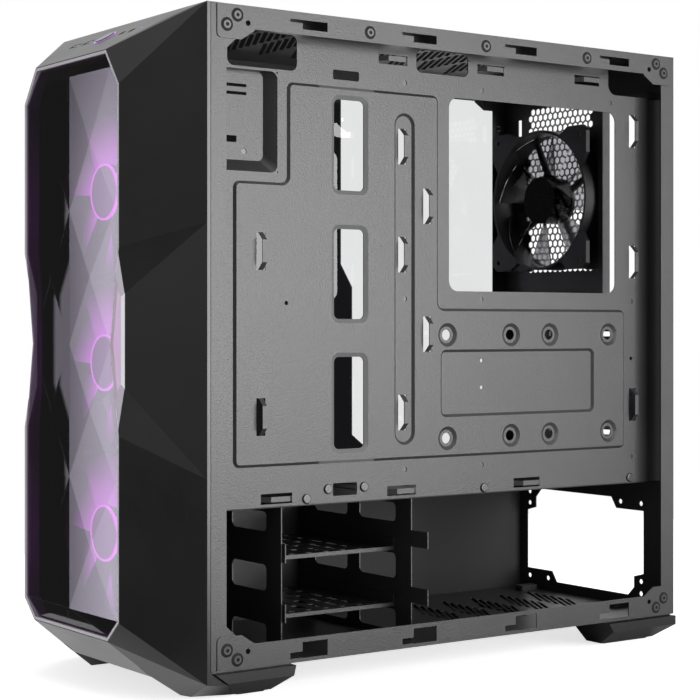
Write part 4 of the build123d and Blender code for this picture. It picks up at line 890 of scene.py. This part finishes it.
camera_fall = ramp(sky, height, -0.22, 0.12, CAMERA_LOW, CAMERA_HIGH)
camera_level = times(sky, camera_fall, ramp(sky, turn, rad(-46), rad(-34), 1.0, CAMERA_GAIN))
mirrored = blend(blend(ROOM, camera_level, camera_side), FRONT_FLAG, front_flag)
mirrored = blend(blend(mirrored, LEFT_FLAG, left_flag), card_level, card)
rays = make(sky, "ShaderNodeLightPath")
bounced = maths(sky, "GREATER_THAN", rays.outputs["Glossy Depth"], 0.5)
seen = maths(sky, "MAXIMUM", rays.outputs["Is Camera Ray"], rays.outputs["Is Transmission Ray"])
join(sky, blend(blend(AMBIENT, 1.0, seen), mirrored, bounced), back.inputs["Strength"])
join(sky, mixed(sky, times(sky, card, bounced), WHITE, CARD_TINT), back.inputs["Color"])
print("world nodes:", len(sky.nodes))

# %% [markdown]
# The floor is matt and takes the shadow of the case. To the camera and through clear plastic it
# also gives a little light of its own, which brings it up to white. The patch before the case does
# so in a mirror image too.

# %% Floor
FLOOR_SIDE, FLOOR_FRONT, FLOOR_BACK = 0.7, -0.3, 0.9
FLOOR_GREY, MIRRORED_GREY, FLOOR_LIFT = (0.85, 0.85, 0.85), (0.3, 0.3, 0.3), 0.72
floor_mesh = bpy.data.meshes.new("floor")
floor_mesh.from_pydata([(-FLOOR_SIDE, FLOOR_FRONT, 0), (FLOOR_SIDE, FLOOR_FRONT, 0),
                        (FLOOR_SIDE, FLOOR_BACK, 0), (-FLOOR_SIDE, FLOOR_BACK, 0)],
                       [], [(0, 1, 2, 3)])
floor = bpy.data.objects.new("floor", floor_mesh)
bpy.context.scene.collection.objects.link(floor)
floor_paint = bpy.data.materials.new("white_floor")
floor_paint.use_nodes = True
tree = floor_paint.node_tree
tree.nodes.clear()
rays = make(tree, "ShaderNodeLightPath")
glossy = rays.outputs["Is Glossy Ray"]
matte = make(tree, "ShaderNodeBsdfDiffuse")
join(tree, mixed(tree, glossy, FLOOR_GREY, MIRRORED_GREY), matte.inputs["Color"])
seen = maths(tree, "ADD", rays.outputs["Is Camera Ray"], rays.outputs["Is Transmission Ray"],
             use_clamp=True)
x, y, _ = place_axes(tree)
patch = times(tree, ramp(tree, y, -0.17, -0.2), ramp(tree, x, 0.13, 0.1))
shown = maths(tree, "MAXIMUM", seen, times(tree, glossy, patch))
glow = make(tree, "ShaderNodeEmission", {"Color": (1.0, 1.0, 1.0, 1.0)})
join(tree, times(tree, shown, FLOOR_LIFT), glow.inputs["Strength"])
both = make(tree, "ShaderNodeAddShader")
join(tree, matte.outputs[0], both.inputs[0])
join(tree, glow.outputs[0], both.inputs[1])
out = make(tree, "ShaderNodeOutputMaterial")
join(tree, both.outputs[0], out.inputs["Surface"])
floor_mesh.materials.append(floor_paint)
print("floor nodes:", len(tree.nodes))

# %% [markdown]
# A large soft light stands to the right, before the open side, and a second one hangs above. Area
# lights give soft shadows and a broad sheen on satin paint. The brightness of such a lamp, as seen,
# is its energy divided by pi and by its area, so the level is given and the energy follows.

# %% Soft lights
def soft_light(name, place, aim, size, level):
    """Area light at a place, turned to its aim. level is its brightness as seen."""
    lamp = bpy.data.lights.new(name, "AREA")
    lamp.shape = "RECTANGLE"
    lamp.size, lamp.size_y = size
    lamp.energy = level * math.pi * size[0] * size[1]
    holder = bpy.data.objects.new(name, lamp)
    bpy.context.scene.collection.objects.link(holder)
    vector = Vector(aim) - Vector(place)
    holder.location = place
    holder.rotation_euler = vector.to_track_quat("-Z", "Y").to_euler()
    holder.visible_camera = False
    holder.visible_transmission = False
    print("light:", name, "watts", round(lamp.energy, 2))


soft_light("right_soft", place=(1.5, 0.5, 0.37), aim=(0, 0, 0.28), size=(1.2, 0.95), level=9.15)
soft_light("top_soft", place=(0.1, -0.1, 1.7), aim=(0, 0, 0.2), size=(1.3, 1.3), level=1.2)

# %% [markdown]
# ## Camera
# The camera stands at about half the height of the case, to the right of its front. It is level, so
# the upright edges stay upright, and a small shift sets the case in the frame.

# %% Camera
camera_data = bpy.data.cameras.new("camera")
camera_data.sensor_width = 36.0
camera_data.lens = 92.11
camera_data.shift_y = -0.0329
camera_data.clip_end = 50.0
camera = bpy.data.objects.new("camera", camera_data)
camera.location = (1.1301, -0.8065, 0.2523)
camera.rotation_euler = (math.pi / 2, 0.0, math.radians(54.685))
bpy.context.scene.collection.objects.link(camera)
bpy.context.scene.camera = camera
bpy.context.scene.view_settings.view_transform = "Standard"
print("camera at", tuple(camera.location))

# %% [markdown]
